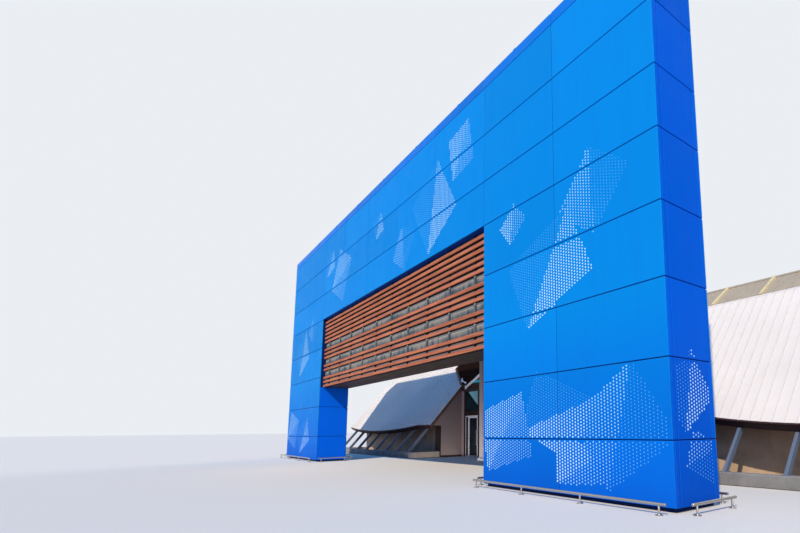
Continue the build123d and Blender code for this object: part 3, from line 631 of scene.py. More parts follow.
def glazing(name, colour, mirror=0.0):
    """Dark clear or tinted mirror glass with a thin film of dust."""
    material, tree, shader = new_material(name, Transmission_Weight=0.25, Metallic=mirror, IOR=1.45,
                                          Specular_Tint=(0.1, 0.75, 1.0), Specular_IOR_Level=0.8)
    film = remap(tree, noise(tree, 1.3, 5.0), 0.35, 0.75)
    dusty = tuple(c * 1.5 + 0.02 for c in colour)
    wave = use_group(tree, SHEET_RIPPLE, Scale=0.9, Depth=0.0015, Grain=0.0)["Normal"]
    feed(tree, shader, Base_Color=mix_colour(tree, film, colour, dusty),
         Roughness=remap(tree, film, 0.0, 1.0, 0.02, 0.1), Normal=wave)
    return material


DEEP_GLEAM = (0.05, 0.4, 1.0)
BLUE_SHEET = dict(ripple_scale=0.45, wear=0.35, tone=0.06, gleam=DEEP_GLEAM)
# The portal's panels are darker towards the foot: a painted shade that fades out by 4.4 m
blue_panel = sheet_metal("blue composite panel", (0.003, 0.142, 0.68), (0.01, 0.12, 0.5), specular=0.03,
                         shade_by_height=((0.003, 0.264, 0.695), 4.4), streaks=0.1, blotches=0.05, foot=0.35,
                         foot_height=0.9, ripple=0.008, worn=(0.08, 0.38, 0.9), **BLUE_SHEET)
# A darker copy of the blue panel for the portal's ends: painted shade, darker still towards the foot
blue_end_painted_shade = sheet_metal("blue composite panel, ends, painted shade", (0.001, 0.105, 0.58), (0.01, 0.09, 0.5), specular=0.02,
                       shade_by_height=((0.001, 0.125, 0.67), 3.6), streaks=0.12, blotches=0.06, foot=0.6,
                       foot_height=1.6, ripple=0.01, worn=(0.06, 0.3, 0.85), **BLUE_SHEET)
# A lighter copy of the blue panel for the reveals: painted light
blue_reveal_painted_light = sheet_metal("blue composite panel, reveals, painted light", (0.003, 0.16, 0.92), (0.01, 0.12, 0.7),
                          specular=0.03, streaks=0.12, blotches=0.06, foot=0.4, foot_height=0.9, ripple=0.01,
                          worn=(0.06, 0.3, 0.85), **BLUE_SHEET)
blue_trim = sheet_metal("blue folded trim", (0.002, 0.2, 0.72), (0.01, 0.14, 0.48), rough=0.4, specular=0.1,
                        streaks=0.12, blotches=0.05, foot=0.3, ripple=0.004, worn=(0.1, 0.4, 0.92), wear=0.5,
                        tone=0.05, gleam=DEEP_GLEAM)
navy_lining = sheet_metal("navy lining", (0.003, 0.02, 0.12), (0.01, 0.025, 0.07), rough=0.6, specular=0.1,
                          streaks=0.3, ripple=0.003)
deep_lining = sheet_metal("deep blue lining", (0.003, 0.06, 0.42), (0.01, 0.05, 0.22), rough=0.5,
                          specular=0.1, streaks=0.3, ripple=0.003)
dot_backing = perforated_look("pale perforation backing", (0.03, 0.42, 0.9), (0.58, 0.88, 1.0))
# Backing with painted slat shadow and painted light between the slats, over real lime runs
backing_sheet = streaked_and_slat_shaded_sheet("weathered backing sheet with painted slat shade", (0.08, 0.13, 0.18), (0.29, 0.34, 0.36),
                               (0.7, 0.63, 0.49))
slat_wood = wood("terracotta slats", (0.68, 0.21, 0.088), (0.34, 0.08, 0.035), (0.68, 0.29, 0.16), 0.4,
                 relief_depth=0.0012, tone=0.14)
soffit_wood = wood("dark soffit boards", (0.07, 0.042, 0.03), (0.02, 0.012, 0.009), (0.15, 0.1, 0.075), 0.5,
                   tone=0.4)
stainless = sheet_metal("brushed stainless", (0.46, 0.44, 0.42), (0.27, 0.24, 0.21), rough=0.3, metal=1.0,
                        streaks=0.1, foot=0.4, foot_height=0.15, ripple=0.0, grain=0.0004)
bright_steel = sheet_metal("bright steel", (0.6, 0.6, 0.6), (0.4, 0.38, 0.36), rough=0.25, metal=1.0,
                           streaks=0.05, foot=0.1, ripple=0.0)
WHITE_SHEET = dict(colour=(0.95, 0.83, 0.69), dirt=(0.52, 0.46, 0.39), rough=0.5, specular=0.15, streaks=0.08,
                   blotches=0.05, foot=0.15, foot_height=2.4, ripple=0.0006, ripple_scale=1.0)
# In both white claddings the lines along the seams are partly dirt and partly painted shade beside the seams
white_cladding = sheet_metal("white seamed cladding", seams=("X", SEAM_GAP, 0.09, SEAM_START, True, 0.5),
                             **WHITE_SHEET)
white_back = sheet_metal("white seamed cladding, back",
                         seams=("X", SEAM_GAP, 0.09, SEAM_START_BACK, False, 0.5), **WHITE_SHEET)
seam_white = sheet_metal("white seam", (0.82, 0.74, 0.64), (0.5, 0.46, 0.4), rough=0.55, specular=0.1,
                         streaks=0.1, foot=0.15, foot_height=2.2, ripple=0.0)
white_trim = sheet_metal("white folded trim", (0.93, 0.83, 0.71), (0.5, 0.46, 0.42), rough=0.5, specular=0.15,
                         streaks=0.15, foot=0.15, ripple=0.0)
edge_brown = sheet_metal("red-brown edge trim", (0.1, 0.06, 0.052), (0.15, 0.1, 0.09), rough=0.5,
                         specular=0.1, streaks=0.2)
drip_brown = sheet_metal("purple-brown edge board", (0.045, 0.02, 0.02), (0.06, 0.034, 0.033), rough=0.5,
                         specular=0.08, streaks=0.2)
barge_brown = sheet_metal("brown trim", (0.03, 0.017, 0.014), (0.09, 0.065, 0.055), rough=0.5, specular=0.12,
                          streaks=0.25, wear=0.3, worn=(0.16, 0.11, 0.1))
roof_sheet = sheet_metal("grey-beige roof sheet", (0.54, 0.43, 0.29), (0.36, 0.29, 0.2), rough=0.7,
                         specular=0.15, streaks=0.4, blotches=0.5, foot=0.0, ripple=0.003, tone=0.06)
strip_pale = sheet_metal("pale roof strip", (0.84, 0.68, 0.34), (0.5, 0.42, 0.26), rough=0.6, streaks=0.3,
                         blotches=0.5, foot=0.0)
# The side walls darken upwards, a painted shade under the canopy, and the lines along their ribs are partly
# dirt and partly painted shade
beige_wall = sheet_metal("beige profiled sheet", (0.34, 0.295, 0.3), (0.22, 0.17, 0.15), rough=0.55,
                         specular=0.1, streaks=0.2, blotches=0.1, foot=0.3, foot_height=0.4, ripple=0.001,
                         seams=("Y", RIB_PITCH, 0.05, SIDE_Y - 0.023, False, 0.6),
                         shade_by_height=((0.1, 0.075, 0.09), 4.5))
# The recess walls darken upwards, a painted shade under the facade above them
recess_render = stone("brown render", (0.76, 0.5, 0.3), (0.56, 0.36, 0.2), 0.003, shade=(0.9, 2.0, 0.75))
wall_render = stone("beige render", (0.46, 0.41, 0.36), (0.38, 0.34, 0.3), 0.003, joints=(2.4, 3.0))
concrete = stone("cast concrete", (0.36, 0.33, 0.29), (0.25, 0.23, 0.2), 0.004, foot=0.6, foot_height=0.4)
strut_steel = sheet_metal("blue-grey steel", (0.13, 0.17, 0.24), (0.2, 0.19, 0.17), streaks=0.3,
                          foot_height=0.9, wear=0.4, worn=(0.3, 0.32, 0.35))
brown_frame = sheet_metal("brown window frame", (0.03, 0.02, 0.018), (0.1, 0.075, 0.065), rough=0.4,
                          specular=0.15, streaks=0.15, foot=0.5, foot_height=0.3, wear=0.3,
                          worn=(0.16, 0.12, 0.1))
pane = glazing("dark glazing", (0.006, 0.011, 0.018))
mirror_pane = glazing("sun glass", (0.085, 0.165, 0.2), 0.92)
door_white = sheet_metal("white door frame", (0.95, 0.95, 0.95), (0.66, 0.63, 0.6), rough=0.3, specular=0.5,
                         streaks=0.05, foot=0.3, foot_height=0.2, ripple=0.0)
canopy_sheet = sheet_metal("grey canopy sheet", (0.3, 0.31, 0.32), (0.2, 0.19, 0.18), rough=0.5, streaks=0.3)
canopy_lining = sheet_metal("brown canopy lining", (0.016, 0.006, 0.004), (0.035, 0.02, 0.015), rough=0.75,
                            specular=0.02, streaks=0.2, tone=0.2)
# The columns are lighter at the foot, painted light from the paving, and darker higher up
column_beige = sheet_metal("beige column", (0.95, 0.82, 0.72), (0.5, 0.42, 0.36), rough=0.5, specular=0.2,
                           streaks=0.2, foot=0.3, foot_height=0.3, ripple=0.001,
                           shade_by_height=((0.45, 0.36, 0.33), 3.8))
white_base = stone("white painted base", (0.9, 0.88, 0.86), (0.8, 0.78, 0.76), dirt=(0.35, 0.31, 0.27))
brace_silver = sheet_metal("silver brace", (0.93, 0.93, 0.95), (0.5, 0.48, 0.46), rough=0.35, metal=0.2,
                           streaks=0.1)
# The corner posts darken upwards, a painted shade under the canopy
post_beige = sheet_metal("beige corner post", (0.52, 0.4, 0.36), (0.25, 0.19, 0.17), rough=0.5, specular=0.15,
                         streaks=0.2, foot=0.3, foot_height=0.4, ripple=0.001,
                         shade_by_height=((0.36, 0.27, 0.25), 4.0))
gasket = sheet_metal("black gasket", (0.012, 0.012, 0.013), (0.05, 0.05, 0.05), rough=0.7)
shop_floor = stone("pale shop floor", (0.5, 0.49, 0.46), (0.42, 0.41, 0.39), 0.0005, foot=0.0)

# Finishes of the CAD nodes that stay in sight
for material, names in (
        (navy_lining, "pier_core_right pier_core_left"), (deep_lining, "lintel_core"),
        (white_cladding, "facade_left facade_right"), (white_back, "facade_back"),
        (canopy_lining, "entrance_boarding canopy_ceiling"), (drip_brown, "barge_boards"),
        (roof_sheet, "roof_band_front roof_band_back roof_front roof_back"), (strip_pale, "roof_strips"),
        (recess_render, "recess_walls"), (wall_render, "gable_walls"), (beige_wall, "side_walls"),
        (shop_floor, "hall_floor"), (concrete, "facade_curbs curb_returns"),
        (strut_steel, "facade_struts back_struts"), (post_beige, "corner_posts"),
        (brown_frame, "front_posts front_rails"), (mirror_pane, "front_glass"),
        (door_white, "door_frame door_leaf"), (pane, "sidelight_glass door_glass"),
        (bright_steel, "door_hinges door_handles"), (canopy_sheet, "link_canopy"),
        (white_base, "column_bases"), (column_beige, "porch_columns"), (brace_silver, "porch_braces")):
    for name in names.split():
        nodes[name].data.materials.clear()
        nodes[name].data.materials.append(material)


# Portal

def boxes_piece(name, node_names, cut, material, slot, seed):
    """The boxes of CAD nodes again, each with cut edges and its own tone."""
    node_names = node_names.split()
    lo, hi = (np.concatenate(corners) for corners in zip(*map(solid_boxes, node_names)))
    piece(name, *chamfered(lo, hi, cut), material, slot, tone=box_tones(len(lo), seed), stands_for=node_names)


for side, node_names, material, seed in (
        ("front", "front_cassettes_right front_cassettes_left front_cassettes_lintel", blue_panel, 3),
        ("end", "end_cassettes_right end_cassettes_left", blue_end_painted_shade, 4),
        ("back", "back_cassettes", blue_panel, 5), ("reveal", "reveal_cassettes", blue_reveal_painted_light, 6)):
    boxes_piece(f"portal_{side}_panels", node_names, 0.008, material, "blue_panel", seed)

# Coping with a cover over each joint of its sheets
COVER, COVER_HALF = 0.006, 0.06
coping_lo, coping_hi = solid_boxes("coping")
piece("portal_coping", *chamfered(coping_lo, coping_hi - (0, 0, COVER), 0.012), blue_trim, "blue_panel",
      tone=box_tones(len(coping_lo), 7), stands_for=["coping"])
cover_x = np.arange(-4, 5) * PANEL_W
cover_lo = points(cover_x - COVER_HALF, coping_lo[:, 1].min() - COVER, coping_lo[:, 2].min() + 0.01)
cover_hi = points(cover_x + COVER_HALF, coping_hi[:, 1].max() + COVER, coping_hi[:, 2].max())
piece("coping_joint_covers", *chamfered(cover_lo, cover_hi, 0.005), blue_trim, "blue_panel",
      tone=box_tones(len(cover_x), 17))

# Soffit boards, with an edge trim in front and behind
boxes_piece("soffit_planks", "soffit_boards", 0.004, soffit_wood, "brown_board", 10)
soffit_lo, soffit_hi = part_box("soffit_boards")
trim_x, trim_z = opening_x - 0.01, soffit_lo[2] - 0.006
piece("soffit_edge_trims", *chamfered(
    [[-trim_x, soffit_hi[1] - 0.03, trim_z], [-trim_x, soffit_lo[1] - 0.012, trim_z]],
    [[trim_x, back_y + 0.008, soffit_lo[2] + 0.03], [trim_x, soffit_lo[1] + 0.03, soffit_lo[2] + 0.02]],
    0.004), barge_brown, "barge_brown")

# Fascia: the backing and its uprights, graded between the slats with painted slat shadow and light
slat_lo, slat_hi = solid_boxes("fascia_slats")
order = np.argsort(slat_lo[:, 2])
slat_lo, slat_hi = slat_lo[order], slat_hi[order]
# How far up a slat its shade reaches, and the open height taken above the top one
SLAT_SHADE, OPEN_ABOVE = 0.06, 0.1


def graded_slabs(name, node_name, slot, stretch=1.0, narrow=0.0):
    """The boxes of a node behind the slats, with rows of points at each slat's edges: their value "fall" is 0
    behind and just under a slat, and grows to the open height, times a stretch, at the top of the next slat
    down. In gaps under the narrow height it stays 0. The backing's material turns fall into painted slat
    shadow and light."""
    meshes, values = [], []
    foot, top = slat_lo[:, 2], slat_hi[:, 2]
    open_height = np.append(foot[1:] - top[:-1], OPEN_ABOVE)
    # Narrow gaps keep a fall of 0: painted in full shadow
    open_height[open_height < narrow] = 0.0
    for lo, hi in zip(*solid_boxes(node_name)):
        heights = np.concatenate([[lo[2]], np.column_stack([top, foot, foot + SLAT_SHADE]).ravel(), [hi[2]]])
        fall = np.concatenate([[foot[0] - lo[2]], points(open_height, 0.0, 0.0).ravel(), [0.0]])
        keep = (heights >= lo[2]) & (heights <= hi[2])
        heights, first = np.unique(heights[keep], return_index=True)
        front, back = (np.stack([points(x, y, heights) for x in (lo[0], hi[0])], axis=1)
                       for y in (lo[1], hi[1]))
        meshes.append(thick_grid(front, back))
        values.append(np.tile(np.repeat(fall[keep][first], 2), 2))
    piece(name, *join(*meshes), backing_sheet, slot, fall=stretch * np.concatenate(values),
          stands_for=[node_name])


graded_slabs("fascia_backing_sheets", "fascia_backing", "backing_grey")
# The uprights stand nearer the slats: the stretch shortens their painted shadow, and in narrow gaps they are
# painted in full shadow
graded_slabs("fascia_uprights", "fascia_rails", "black_rail", stretch=2.2, narrow=0.15)

# Slats in lengths that meet with a small gap on the panel joints
SLAT_GAP = 0.004
joints = np.linspace(-opening_x, opening_x, 6)
lo, hi = (np.concatenate([points(x + gap, corner[:, 1], corner[:, 2]) for x in ends])
          for ends, gap, corner in ((joints[:-1], SLAT_GAP, slat_lo), (joints[1:], -SLAT_GAP, slat_hi)))
lo[:, 0] = np.maximum(lo[:, 0], slat_lo[:, 0].min())
hi[:, 0] = np.minimum(hi[:, 0], slat_hi[:, 0].max())
piece("fascia_slat_boards", *chamfered(lo, hi, 0.007), slat_wood, "slat_wood", tone=box_tones(len(lo), 11),
      stands_for=["fascia_slats"])

# Perforated fields: dots on a staggered grid, their size running across each facet
DOT_STEP, DOT_RISE = 0.09, 0.0735
DOT_SIDES, DOT_LIFT, DOT_MARGIN = 8, 0.0015, 0.038
# The three kinds of facet: radius from and to, shine, and the way along which the radius runs
FACET_KINDS = [((0.027, 0.02), 0.95, 0.9), ((0.011, 0.016), 0.2, 4.0), ((0.016, 0.023), 0.6, 2.4)]
# Sheets on the front and on the right end: middle across and up, width, height, turn in degrees, kind
FRONT_SHEETS = [
    (10.7, 5.6, 2.6, 2.0, 24, 0), (12.3, 7.1, 1.7, 1.5, 52, 1), (9.3, 7.3, 0.9, 0.8, 40, 2),
    (8.9, 1.5, 2.0, 1.7, 14, 2), (10.9, 1.9, 2.1, 1.6, -22, 0), (12.9, 1.6, 2.1, 1.9, 33, 1),
    (11.9, 0.8, 1.9, 0.9, 4, 2), (4.6, 9.6, 2.3, 2.6, 31, 0), (2.2, 8.8, 1.5, 1.3, 58, 1),
    (6.5, 10.9, 1.3, 1.6, 12, 2), (-0.4, 10.6, 0.9, 1.0, 20, 0), (-5.1, 9.6, 2.0, 2.3, -28, 2),
    (-7.0, 10.7, 1.3, 1.1, 15, 0), (-11.6, 6.3, 2.2, 2.0, 27, 0), (-9.7, 7.4, 1.1, 1.1, 50, 1),
    (-12.9, 1.7, 1.9, 1.8, -18, 2), (-10.6, 1.4, 2.0, 1.4, 21, 0)]
END_SHEETS = [(front_y + 0.6, 2.3, 1.3, 1.2, 35, 0), (front_y + 1.0, 1.0, 1.0, 0.8, -20, 1)]


def tilted_sheet(cx, cz, width, height, turn, kind):
    """A rectangle turned about its middle by some degrees and split along a diagonal into two facets."""
    t = math.radians(turn)
    half = np.array([[-width, -height], [width, -height], [width, height], [-width, height]]) / 2
    ring = np.array([cx, cz]) + half @ np.array([[math.cos(t), math.sin(t)], [-math.sin(t), math.cos(t)]])
    return [(ring[[0, 1, 2]], kind), (ring[[0, 2, 3]], (kind + 1) % len(FACET_KINDS))]


def facet_dots(corners, small, large, lean):
    """Points of a staggered grid inside a polygon and their radius: it runs from small to large along
    the lean direction, worked out over the polygon's own extent."""
    a0, b0 = np.floor(corners.min(axis=0) / (DOT_STEP, DOT_RISE))
    a1, b1 = np.ceil(corners.max(axis=0) / (DOT_STEP, DOT_RISE))
    a, b = np.meshgrid(np.arange(a0, a1 + 1), np.arange(b0, b1 + 1))
    p = np.column_stack([a.ravel() * DOT_STEP, (b + 0.5 * (a % 2)).ravel() * DOT_RISE])
    inside = np.zeros(len(p), dtype=bool)
    for c, d in zip(corners, np.roll(corners, -1, axis=0)):
        if c[1] == d[1]:
            continue
        crosses = (c[1] > p[:, 1]) != (d[1] > p[:, 1])
        at = c[0] + (p[:, 1] - c[1]) * (d[0] - c[0]) / (d[1] - c[1])
        inside ^= crosses & (p[:, 0] < at)
    p = p[inside]
    way = np.array([math.cos(lean), math.sin(lean)])
    reach = corners @ way
    t = (p @ way - reach.min()) / (reach.max() - reach.min())
    return p, small + (large - small) * t


def dot_discs(places, radius, origin, along, out):
    """Flat discs: centre = origin + a * along + b * up, lifted off the face."""
    centre = origin + places[:, :1] * along + places[:, 1:] * UP + DOT_LIFT * out
    angle = (np.arange(DOT_SIDES) + 0.5) * 2 * math.pi / DOT_SIDES
    ring = np.cos(angle)[:, None] * along + np.sin(angle)[:, None] * UP
    if np.dot(np.cross(along, UP), out) < 0:
        ring = ring[::-1]
    verts = centre[:, None] + radius[:, None, None] * ring[None]
    return verts.reshape(-1, 3), np.arange(len(places) * DOT_SIDES).reshape(-1, DOT_SIDES).tolist()


def dotted(name, sheets, columns, rows, keep, origin, along, out):
    """All facets of one face as a single mesh of discs, which lie clear of the joints."""
    facets = [facet for sheet in sheets for facet in tilted_sheet(*sheet)]
    found = [(*facet_dots(corners, *FACET_KINDS[k][0], FACET_KINDS[k][2]), FACET_KINDS[k][1])
             for corners, k in facets]
    places, radii = (np.concatenate([f[i] for f in found]) for i in (0, 1))
    shine = np.concatenate([np.full(len(f[0]), f[2]) for f in found])
    _, once = np.unique(np.round(places / (DOT_STEP, DOT_RISE / 2)).astype(int), axis=0, return_index=True)
    places, radii, shine = places[once], radii[once], shine[once]
    good = keep(*places.T)
    for place, lines in zip(places.T, (columns, rows)):
        good &= np.abs(place[:, None] - lines).min(axis=1) > DOT_MARGIN
    tone = np.repeat(shine[good] + np.random.default_rng(5).uniform(-0.08, 0.08, good.sum()), DOT_SIDES)
    piece(name, *dot_discs(places[good], radii[good], origin, along, out), dot_backing, "blue_panel",
          tone=tone)


rows_z = np.unique(np.round(np.concatenate(solid_boxes("end_cassettes_right"))[:, 2], 3))
fascia_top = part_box("fascia_backing")[1][2]
dotted("front_perforations", FRONT_SHEETS, np.arange(-4.5, 5.5) * PANEL_W, rows_z,
       lambda x, z: (np.abs(x) < pier_x - 0.1) & (z < rows_z.max() - 0.08) & (z > 0.2)
       & ((np.abs(x) > opening_x + 0.05) | (z > fascia_top + 0.1)), front_y * ALONG_Y, ACROSS, -ALONG_Y)
dotted("end_perforations", END_SHEETS, np.array([front_y + 0.17, back_y - 0.17]), rows_z,
       lambda y, z: (y > front_y + 0.2) & (y < back_y - 0.2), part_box("end_cassettes_right")[1][0] * ACROSS,
       ALONG_Y, ACROSS)

# Bumper rails
RAIL_Z, RAIL_RADIUS = 0.2, 0.03
BOLT_CIRCLE, BOLT_TURN = 0.052, 0.785
FLANGE = [(0, 0.0), (0.075, 0.0), (0.075, 0.008), (0.071, 0.012), (0.032, 0.013), (0.028, 0.026),
          (0.021, 0.03), (0.019, 0.033), (0, 0.033)]
FLANGE_BOLT = [(0, 0.010), (0.008, 0.010), (0.008, 0.019), (0.006, 0.021), (0, 0.021)]
RAIL_POST = [(0, 0.02), (0.02, 0.02), (0.02, 0.19), (0.017, 0.195), (0, 0.195)]


def bumper_rails(name, node_name):
    """Round tubes between the far ends of each CAD solid, with posts, flanges and bolts where the CAD
    posts stand."""
    angle = np.arange(4) * math.pi / 2 + BOLT_TURN
    ring = BOLT_CIRCLE * points(np.cos(angle), np.sin(angle), 0.0)
    meshes = []
    for p in solids(node_name):
        lo, hi = p.min(axis=0), p.max(axis=0)
        along = 0 if hi[0] - lo[0] > hi[1] - lo[1] else 1
        feet = p[p[:, 2] < 0.001]
        middle = (feet.min(axis=0) + feet.max(axis=0)) / 2
        ends = np.tile(middle, (2, 1))
        ends[:, along], ends[:, 2] = (lo[along], hi[along]), RAIL_Z
        meshes.append(rod(*ends, RAIL_RADIUS, 20))
        row = np.sort(feet[:, along])
        groups = np.split(row, np.where(np.diff(row) > 0.2)[0] + 1)
        spots = np.tile(middle, (len(groups), 1))
        spots[:, along], spots[:, 2] = [(g.min() + g.max()) / 2 for g in groups], 0
        meshes.append(turned(FLANGE, spots, UP, 24))
        meshes.append(turned(RAIL_POST, spots, UP, 16))
        meshes.append(turned(FLANGE_BOLT, (spots[:, None] + ring[None]).reshape(-1, 3), UP, 6))
    piece(name, *join(*meshes), stainless, "stainless", smooth=True, stands_for=[node_name])


bumper_rails("right_bumper_rails", "bumper_rails_right")
bumper_rails("left_bumper_rails", "bumper_rails_left")


# Hall

SEAM = [(-0.011, 0.0), (0.011, 0.0), (0.005, 0.004), (0.0045, 0.015), (0.007, 0.018), (0.007, 0.023),
        (-0.007, 0.023), (-0.007, 0.018), (-0.0045, 0.015), (-0.005, 0.004)]
RIB = [(-0.022, 0.0), (0.022, 0.0), (0.012, 0.018), (-0.012, 0.018)]
# The planes of the front half: y and z of the lower and of the upper edge, and the slope
FACADE_PLANE = (FACADE_Y, FACADE_Z, EAVES_Y, EAVES_Z, SLOPE)
BAND_PLANE = (EAVES_Y, EAVES_Z, BAND_Y, BAND_Z, BAND)
ROOF_PLANE = (BAND_Y, BAND_Z, RIDGE_Y, RIDGE_Z, ROOF)


def foot_v(x):
    """Distance down the slope of the facade's bottom edge: straight by the entrance, then a circular arc
    whose radius is (half chord squared + sag squared) / (2 sag)."""
    start = np.where(np.asarray(x) < 0, BOW_LEFT, BOW_RIGHT)
    half = (HALL_HALF - start) / 2
    radius = (half ** 2 + BOW ** 2) / (2 * BOW)
    arc = np.sqrt(np.maximum(radius ** 2 - (np.abs(x) - start - half) ** 2, 0)) - (radius - BOW)
    return np.where(np.abs(x) < start, 0.0, -arc)


def wedge_v(x):
    """Distance up the slope of the slanted edge beside the entrance, above the node where it starts."""
    return (np.abs(x) - entrance_x) * WEDGE_RISE / WEDGE_RUN


def head_v(x):
    """Distance up the slope of the cladding's top edge: the slanted edge by the entrance, then the eaves."""
    return np.where(np.abs(x) < entrance_x + WEDGE_RUN, NODE_V + wedge_v(x), EAVES_V)


# Standing seams of the cladding, in front and behind
SEAM_FOOT = 0.03
seam_x = np.arange(SEAM_START, HALL_HALF - 0.05, SEAM_GAP)
seam_x = np.concatenate([-seam_x[::-1], seam_x])
back_x = np.arange(SEAM_START_BACK, HALL_HALF - 0.1, SEAM_GAP)
front_seams = prisms(SEAM, on_slope(seam_x, foot_v(seam_x) + SEAM_FOOT),
                     on_slope(seam_x, head_v(seam_x) - 0.1), ACROSS, OUT)
back_seams = prisms(SEAM, on_slope(back_x, -BOW + SEAM_FOOT), on_slope(back_x, EAVES_V - 0.04), ACROSS, OUT)
piece("cladding_seams", *join(front_seams, mirror_y(*back_seams)), seam_white, "white_cladding")

# Folded trim under the cladding: distances down the slope and outwards
DRIP_TRIM = [(-0.015, -0.26), (-0.015, 0.02), (0.05, 0.02), (0.05, 0.004), (0.0, 0.0), (0.0, -0.26)]


def edge_trim(sign, bow_start):
    """A folded strip carried along the bottom edge: ring = edge point + a * down the slope + b * outwards."""
    edge_x = np.concatenate([[entrance_x], np.linspace(bow_start, HALL_HALF, 41)])
    base = on_slope(edge_x * sign, foot_v(edge_x * sign))
    ring = np.array(DRIP_TRIM)
    verts = base[:, None] + ring[None, :, :1] * FALL + ring[None, :, 1:] * OUT
    n, k = len(edge_x), len(ring)
    i, j = np.meshgrid(np.arange(n - 1), np.arange(k), indexing="ij")
    a = i * k + j
    b = i * k + (j + 1) % k
    faces = np.stack([a, b, b + k, a + k], axis=-1).reshape(-1, 4)
    faces = faces.tolist() + [list(range(k))[::-1], list(range((n - 1) * k, n * k))]
    if sign > 0:
        faces = [f[::-1] for f in faces]
    return verts.reshape(-1, 3), faces


piece("facade_drip_trim", *join(edge_trim(1, BOW_RIGHT), edge_trim(-1, BOW_LEFT)), drip_brown, "barge_brown")

# Roof ribs between the strips, fold caps and verge flashings
rib_x = np.arange(-40, 41) * STRIP_PITCH / 4
rib_x = rib_x[np.abs(rib_x / STRIP_PITCH - np.round(rib_x / STRIP_PITCH)) > 0.1]


def roof_ribs(y0, z0, y1, z1, angle):
    """Low folded ribs up one plane of the roof, in front and mirrored behind."""
    return front_and_back(prisms(RIB, points(rib_x, y0, z0), points(rib_x, y1, z1), ACROSS,
                                 (0, -math.sin(angle), math.cos(angle))))


def fold_cap(left, right, reach, thick, y, z):
    """A folded strip along the hall over an edge: it falls at the left angle and goes on at the right one."""
    ways = np.array([[-math.cos(left), -math.sin(left)], [math.cos(right), math.sin(right)]])
    normals = np.array([[-math.sin(left), math.cos(left)], [-math.sin(right), math.cos(right)]])
    profile = [ways[0] * reach, (0, 0), ways[1] * reach, ways[1] * reach + normals[1] * thick,
               normals.mean(axis=0) * thick, ways[0] * reach + normals[0] * thick]
    return prisms(profile, (-HALL_HALF, y, z), (HALL_HALF, y, z), ALONG_Y, UP)


def verge_bar(y0, z0, y1, z1, angle, width=0.16, thick=0.03):
    """A flashing on top of the shell along its right end, front and back."""
    bar = prisms(flat(-width, 0, 0, thick), (HALL_HALF, y0, z0), (HALL_HALF, y1, z1), ACROSS,
                 (0, -math.sin(angle), math.cos(angle)))
    return front_and_back(bar)


piece("roof_ribs", *join(roof_ribs(*BAND_PLANE), roof_ribs(*ROOF_PLANE)), roof_sheet, "roof_grey")
piece("roof_fold_caps", *join(front_and_back(fold_cap(BAND, ROOF, 0.16, 0.024, BAND_Y, BAND_Z)),
                              fold_cap(ROOF, -ROOF, 0.26, 0.028, RIDGE_Y, RIDGE_Z)), roof_sheet, "roof_grey")
piece("eaves_flashings", *front_and_back(fold_cap(SLOPE, BAND, 0.05, 0.008, EAVES_Y, EAVES_Z)), white_trim,
      "white_cladding")
piece("roof_verge_flashings", *both_sides(join(verge_bar(*BAND_PLANE), verge_bar(*ROOF_PLANE))), roof_sheet,
      "roof_grey")
piece("facade_end_flashings", *both_sides(verge_bar(*FACADE_PLANE, 0.1, 0.026)), white_trim, "white_cladding")
BACK_TRIM = [(-0.26, -0.015), (0.02, -0.015), (0.02, 0.05), (0.004, 0.05), (0.004, 0.0), (-0.26, 0.0)]
piece("back_drip_trim", *mirror_y(*prisms(BACK_TRIM, on_slope(-HALL_HALF, -BOW), on_slope(HALL_HALF, -BOW),
                                          OUT, -FALL)), barge_brown, "barge_brown")

# Walls beside the entrance
SOFFIT_LINE = 1.88
WALL_RIB = np.array([(0.0, 0.0), (0.09, 0.0), (0.1, 0.016), (0.126, 0.016), (0.136, 0.0)])
wall_x = -entrance_x
facade_foot, facade_node = (wall_x, FACADE_Y, FACADE_Z), (wall_x, NODE_Y, NODE_Z)


def wall_sheet(y0, y1, bottom):
    """Upright ribbed sheet on the left wall: columns of points follow the ribs back along the wall, rows run
    from the foot up to just under the slanting face."""
    starts = np.arange(SIDE_Y - RIB_PITCH * math.ceil((SIDE_Y - y0) / RIB_PITCH), y1, RIB_PITCH)
    y = (starts[:, None] + WALL_RIB[None, :, 0]).ravel()
    proud = np.tile(WALL_RIB[:, 1], len(starts))
    keep = (y > y0 + 0.004) & (y < y1 - 0.004)
    y, proud = np.concatenate([[y0], y[keep], [y1]]), np.concatenate([[0.0], proud[keep], [0.0]])
    top = FACADE_Z + (y - FACADE_Y) * math.tan(SLOPE) - 0.02
    face = wall_x + 0.006 + proud
    front = np.stack([points(face, y, bottom), points(face, y, top)])
    back = front.copy()
    back[..., 0] = wall_x
    return thick_grid(front, back)


piece("side_wall_cladding", *both_sides(join(wall_sheet(FACADE_Y + 0.06, SIDE_Y, SOFFIT_LINE),
                                             wall_sheet(SIDE_Y, NODE_Y, 0.1))), beige_wall, "beige_wall")
slant_edges = (facade_foot, facade_node, ACROSS, OUT)
piece("slanting_edge_trims", *both_sides(prisms(flat(0, 0.034, -0.17, -0.012), *slant_edges)), edge_brown,
      "barge_brown")

